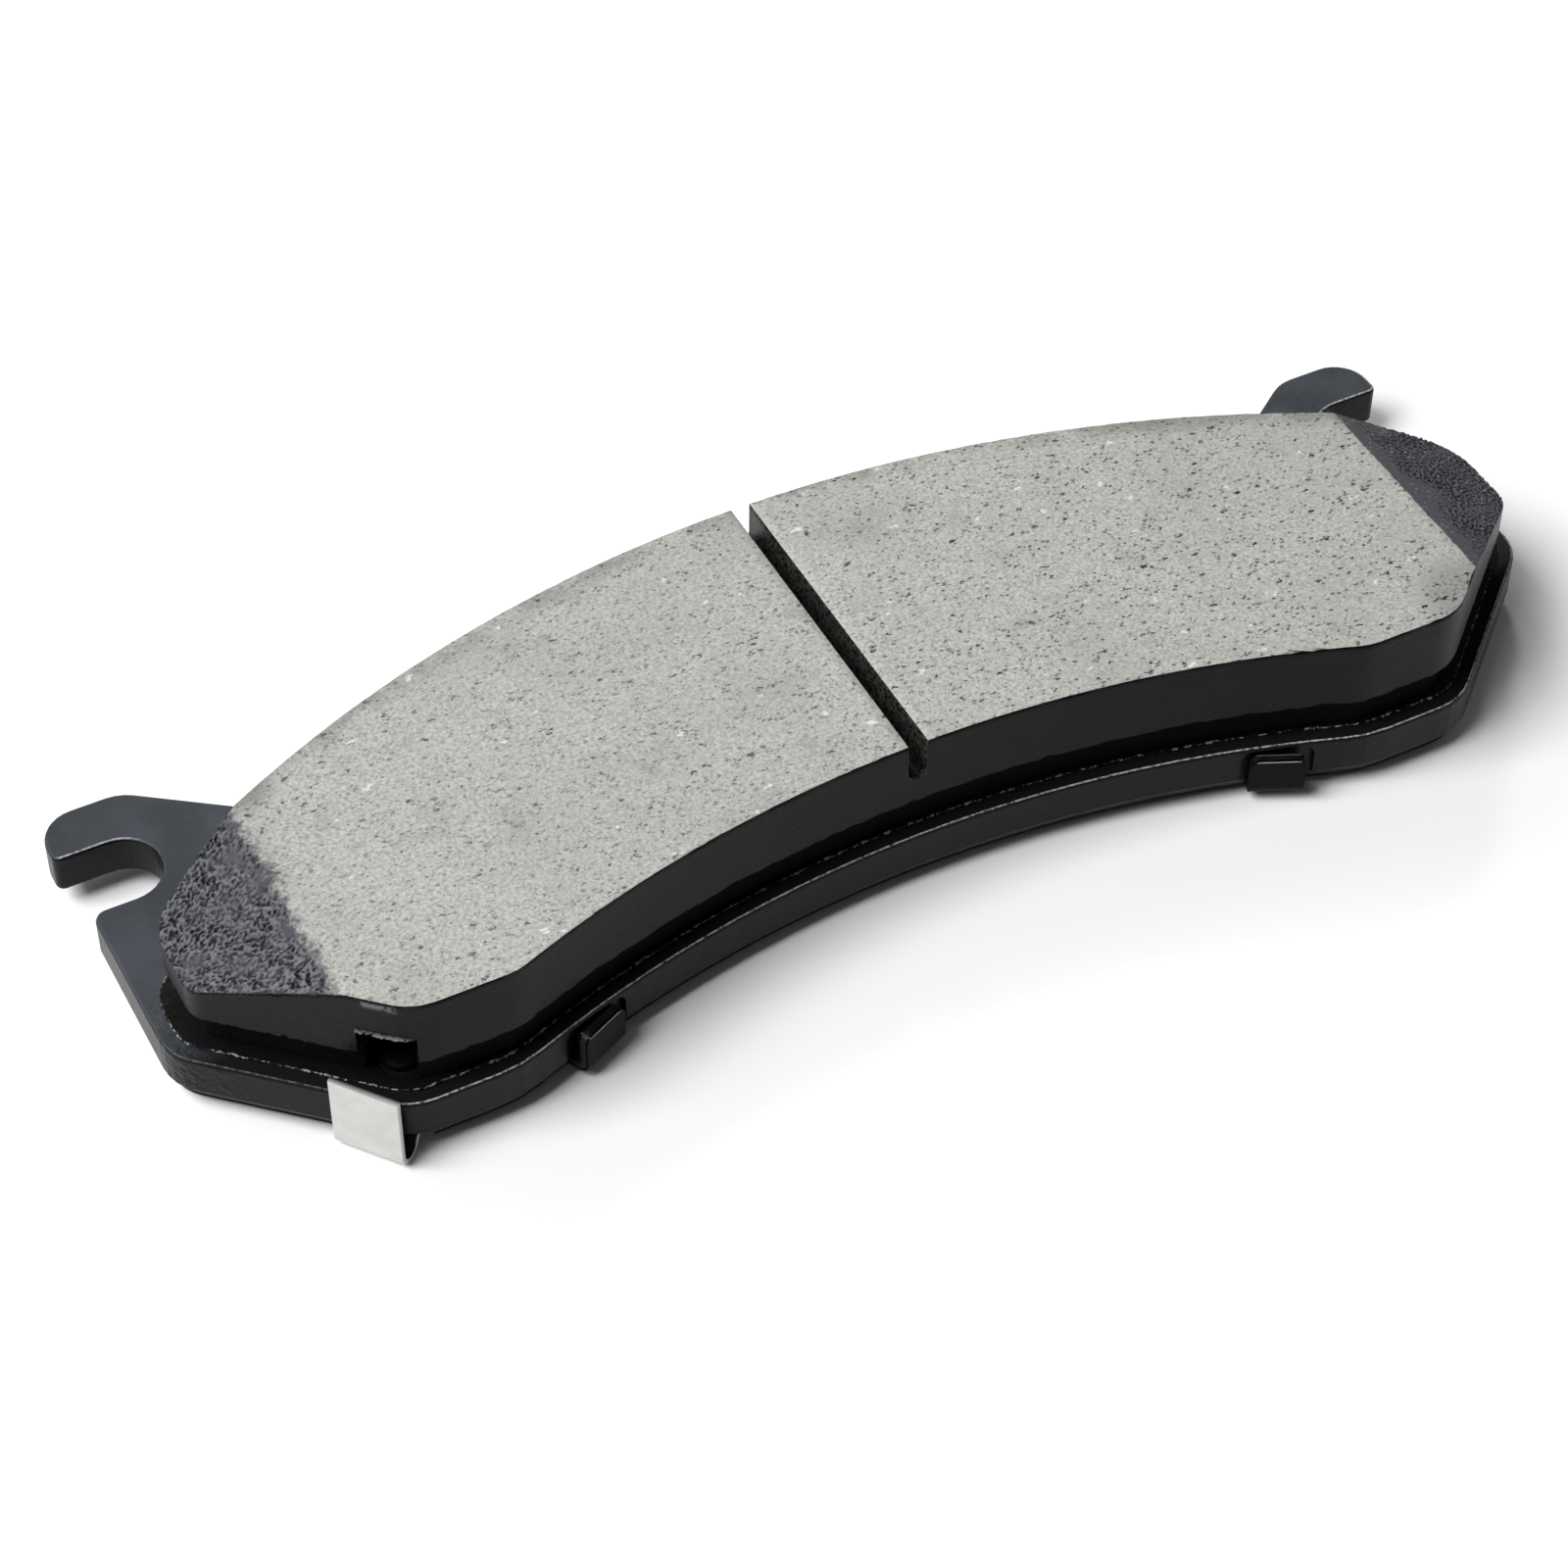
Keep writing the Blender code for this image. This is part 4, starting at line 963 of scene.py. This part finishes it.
def rubber_look():
    """Nitrile coating: near-black, satin, finely pebbled, with a pale lip along the tabs' tops that is
    partly the cut edge's tone and partly a painted highlight.
    """
    look, tree, shader = new_look("nitrile_coating", IOR=1.45, Specular_IOR_Level=0.1)
    place = object_coordinates(tree)
    coat = coat_on(tree, place, 0.5 * MM, 0.12 * MM, 6 * MM)
    colour = blend(tree, ramp(tree, coat["Cloud"], 0.3, 0.7), RUBBER_DARK, RUBBER_PALE)
    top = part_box("shim_outer_rubber")[1].z
    near_top = ramp(tree, component(tree, place, 2), top - 0.22 * MM, top - 0.12 * MM)
    outer = ramp(tree, component(tree, surface_normal(tree), 1), -0.1, -0.4)
    # Partly painted highlight: a pale band along the top of the tabs' front faces.
    colour = blend(tree, product(tree, near_top, outer), colour, TAB_LIP_HIGHLIGHT)
    tree.links.new(colour, shader.inputs["Base Color"])
    tree.links.new(ramp(tree, coat["Grain"], 0.3, 0.7, 0.4, 0.58), shader.inputs["Roughness"])
    bump(tree, shader, coat["Height"], 0.02 * MM)
    return look


def shadow_compound_look():
    """Underlayer: black moulded compound with a gritty skin, drawn near-black also as painted shade under
    the block's overhang.
    """
    look, tree, shader = new_look("moulded_underlayer_and_shade", Specular_IOR_Level=0.1)
    place = object_coordinates(tree)
    grit = flecks_on(tree, place, 0.5 * MM, 0.5, 0.5)
    lump = noise(tree, place, 0.8 * MM, 4.0, 0.6)
    colour = blend(tree, ramp(tree, lump, 0.35, 0.75), UNDERLAYER_SHADE_DARK, UNDERLAYER_SHADE_PALE)
    tree.links.new(colour, shader.inputs["Base Color"])
    tree.links.new(ramp(tree, lump, 0.3, 0.7, 0.75, 0.95), shader.inputs["Roughness"])
    bump(tree, shader, math_node(tree, "ADD", lump, grit), 0.08 * MM)
    return look


def film_look(name, edge_colour):
    """Cured adhesive: black, with glossier broken patches in the edge colour."""
    look, tree, shader = new_look(name, Specular_IOR_Level=0.12)
    place = object_coordinates(tree)
    patch = noise(tree, place, 0.7 * MM, 4.0, 0.7)
    colour = blend(tree, ramp(tree, patch, 0.48, 0.62), FILM_BLACK, edge_colour)
    tree.links.new(colour, shader.inputs["Base Color"])
    tree.links.new(ramp(tree, patch, 0.35, 0.6, 0.7, 0.4), shader.inputs["Roughness"])
    bump(tree, shader, patch, 0.05 * MM)
    return look


def plated_look():
    """Bright plated spring steel, cloudy, with hairlines along the strip and a dark inside, the face towards
    the plate.
    """
    look, tree, shader = new_look("plated_steel", Metallic=0.5)
    place = object_coordinates(tree)
    _, out = indicator_place()
    hair = stretched(tree, place, -np.angle(out), (1.0, 1.0, 0.04))
    hairline = noise(tree, hair, 0.12 * MM, 3.0, 0.6)
    cloud = noise(tree, place, 2.6 * MM, 3.0)
    colour = blend(tree, ramp(tree, cloud, 0.3, 0.7), PLATED_DARK, PLATED_PALE)
    colour = blend(tree, ramp(tree, hairline, 0.6, 0.8, 0.0, 0.25), colour, HAIRLINE)
    colour = blend(tree, attribute(tree, "inner"), colour, STRIP_INSIDE)
    tree.links.new(colour, shader.inputs["Base Color"])
    tree.links.new(ramp(tree, hairline, 0.3, 0.7, 0.42, 0.55), shader.inputs["Roughness"])
    bump(tree, shader, hairline, 0.008 * MM)
    return look


def steel_look(name, shade, rough):
    """Bare sheet or rivet steel with rolling grain and light stain."""
    look, tree, shader = new_look(name, Metallic=0.9)
    place = object_coordinates(tree)
    grain = noise(tree, stretched(tree, place, 0.4, (0.15, 1.0, 1.0)), 0.15 * MM, 3.0)
    stain = noise(tree, place, 3 * MM, 3.0)
    pale = (shade, shade, shade * 0.98, 1)
    dull = (shade * 0.6, shade * 0.58, shade * 0.55, 1)
    tree.links.new(blend(tree, ramp(tree, stain, 0.4, 0.7), pale, dull), shader.inputs["Base Color"])
    tree.links.new(ramp(tree, grain, 0.3, 0.7, rough, rough + 0.15), shader.inputs["Roughness"])
    bump(tree, shader, grain, 0.01 * MM)
    return look


def floor_look():
    """Matt pale paper, very slightly uneven."""
    look, tree, shader = new_look("pale_floor", Roughness=0.9)
    place = object_coordinates(tree)
    tone = ramp(tree, noise(tree, place, 0.3, 2.0), 0.3, 0.7)
    tree.links.new(blend(tree, tone, FLOOR_DARK, FLOOR_PALE), shader.inputs["Base Color"])
    return look


# ---- floor, light and camera ----


def make_floor():
    side, z = FLOOR_HALF_SIDE, cad_box[0].z - FLOOR_GAP
    points = [(-side, -side, z), (side, -side, z), (side, side, z), (-side, side, z)]
    mesh = bpy.data.meshes.new("floor")
    mesh.from_pydata(points, [], [(0, 1, 2, 3)])
    mesh.materials.append(floor_look())
    floor = bpy.data.objects.new("floor", mesh)
    bpy.context.scene.collection.objects.link(floor)


def add_lamp(name, place, aim, width, height, power):
    """A soft rectangular lamp at place that looks at aim."""
    lamp = bpy.data.lights.new(name, "AREA")
    lamp.shape = "RECTANGLE"
    lamp.size = width
    lamp.size_y = height
    lamp.energy = power
    obj = bpy.data.objects.new(name, lamp)
    bpy.context.scene.collection.objects.link(obj)
    obj.location = place
    obj.rotation_euler = (Vector(aim) - Vector(place)).to_track_quat("-Z", "Y").to_euler()


def make_light():
    """A faint even white from all round, and the lamps."""
    world = bpy.data.worlds.new("studio")
    world.use_nodes = True
    sky = world.node_tree.nodes["Background"].inputs
    sky["Color"].default_value = (1, 1, 1, 1)
    sky["Strength"].default_value = WORLD_STRENGTH
    bpy.context.scene.world = world
    bpy.context.scene.view_settings.view_transform = "Standard"
    for lamp in LAMPS:
        add_lamp(*lamp)


def make_camera():
    """The camera looks along its third axis from CAMERA_DISTANCE, turned about it by the roll."""
    az, el, roll = CAMERA_AZIMUTH, CAMERA_ELEVATION, CAMERA_ROLL
    back = Vector((math.sin(az) * math.cos(el), -math.cos(az) * math.cos(el), math.sin(el)))
    level = Vector((math.cos(az), math.sin(az), 0))
    upright = back.cross(level)
    right = level * math.cos(roll) + upright * math.sin(roll)
    up = back.cross(right)
    data = bpy.data.cameras.new("camera")
    data.lens = CAMERA_LENS
    data.sensor_width = 36
    data.clip_start = 0.01
    camera = bpy.data.objects.new("camera", data)
    bpy.context.scene.collection.objects.link(camera)
    camera.matrix_world = Matrix.Translation(CAMERA_AIM + back * CAMERA_DISTANCE) @ Matrix(
        (right, up, back)
    ).transposed().to_4x4()
    bpy.context.scene.camera = camera


def dress(node, look):
    """Gives a CAD node's own mesh a finished material."""
    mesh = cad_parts[node].data
    mesh.materials.clear()
    mesh.materials.append(look)


make_camera()
make_light()
make_floor()
rubber = rubber_look()
make_friction_block(friction_look())
# The bead's pale patches are partly dried adhesive and partly a painted highlight along the film's edge.
make_film_bead(film_look("cured_film_edge_and_highlight", (0.24, 0.24, 0.235, 1)))
make_wear_indicator(plated_look())
dress("backing_plate", plate_look())
dress("underlayer", shadow_compound_look())
dress("bond_film", film_look("cured_film", (0.004, 0.004, 0.004, 1)))
dress("shim_adhesive", film_look("shim_glue", (0.12, 0.1, 0.06, 1)))
dress("shim_inner_rubber", rubber)
dress("shim_outer_rubber", rubber)
# The shim's steel core is given a dark tone, so its edge shows no bright line.
dress("shim_steel_core", steel_look("dark_sheet_steel", 0.04, 0.4))
# The rivet is drawn near-black, partly phosphated steel and partly painted shade in the pocket.
dress("wear_indicator_rivet", steel_look("phosphated_steel_in_shade", 0.004, 0.6))
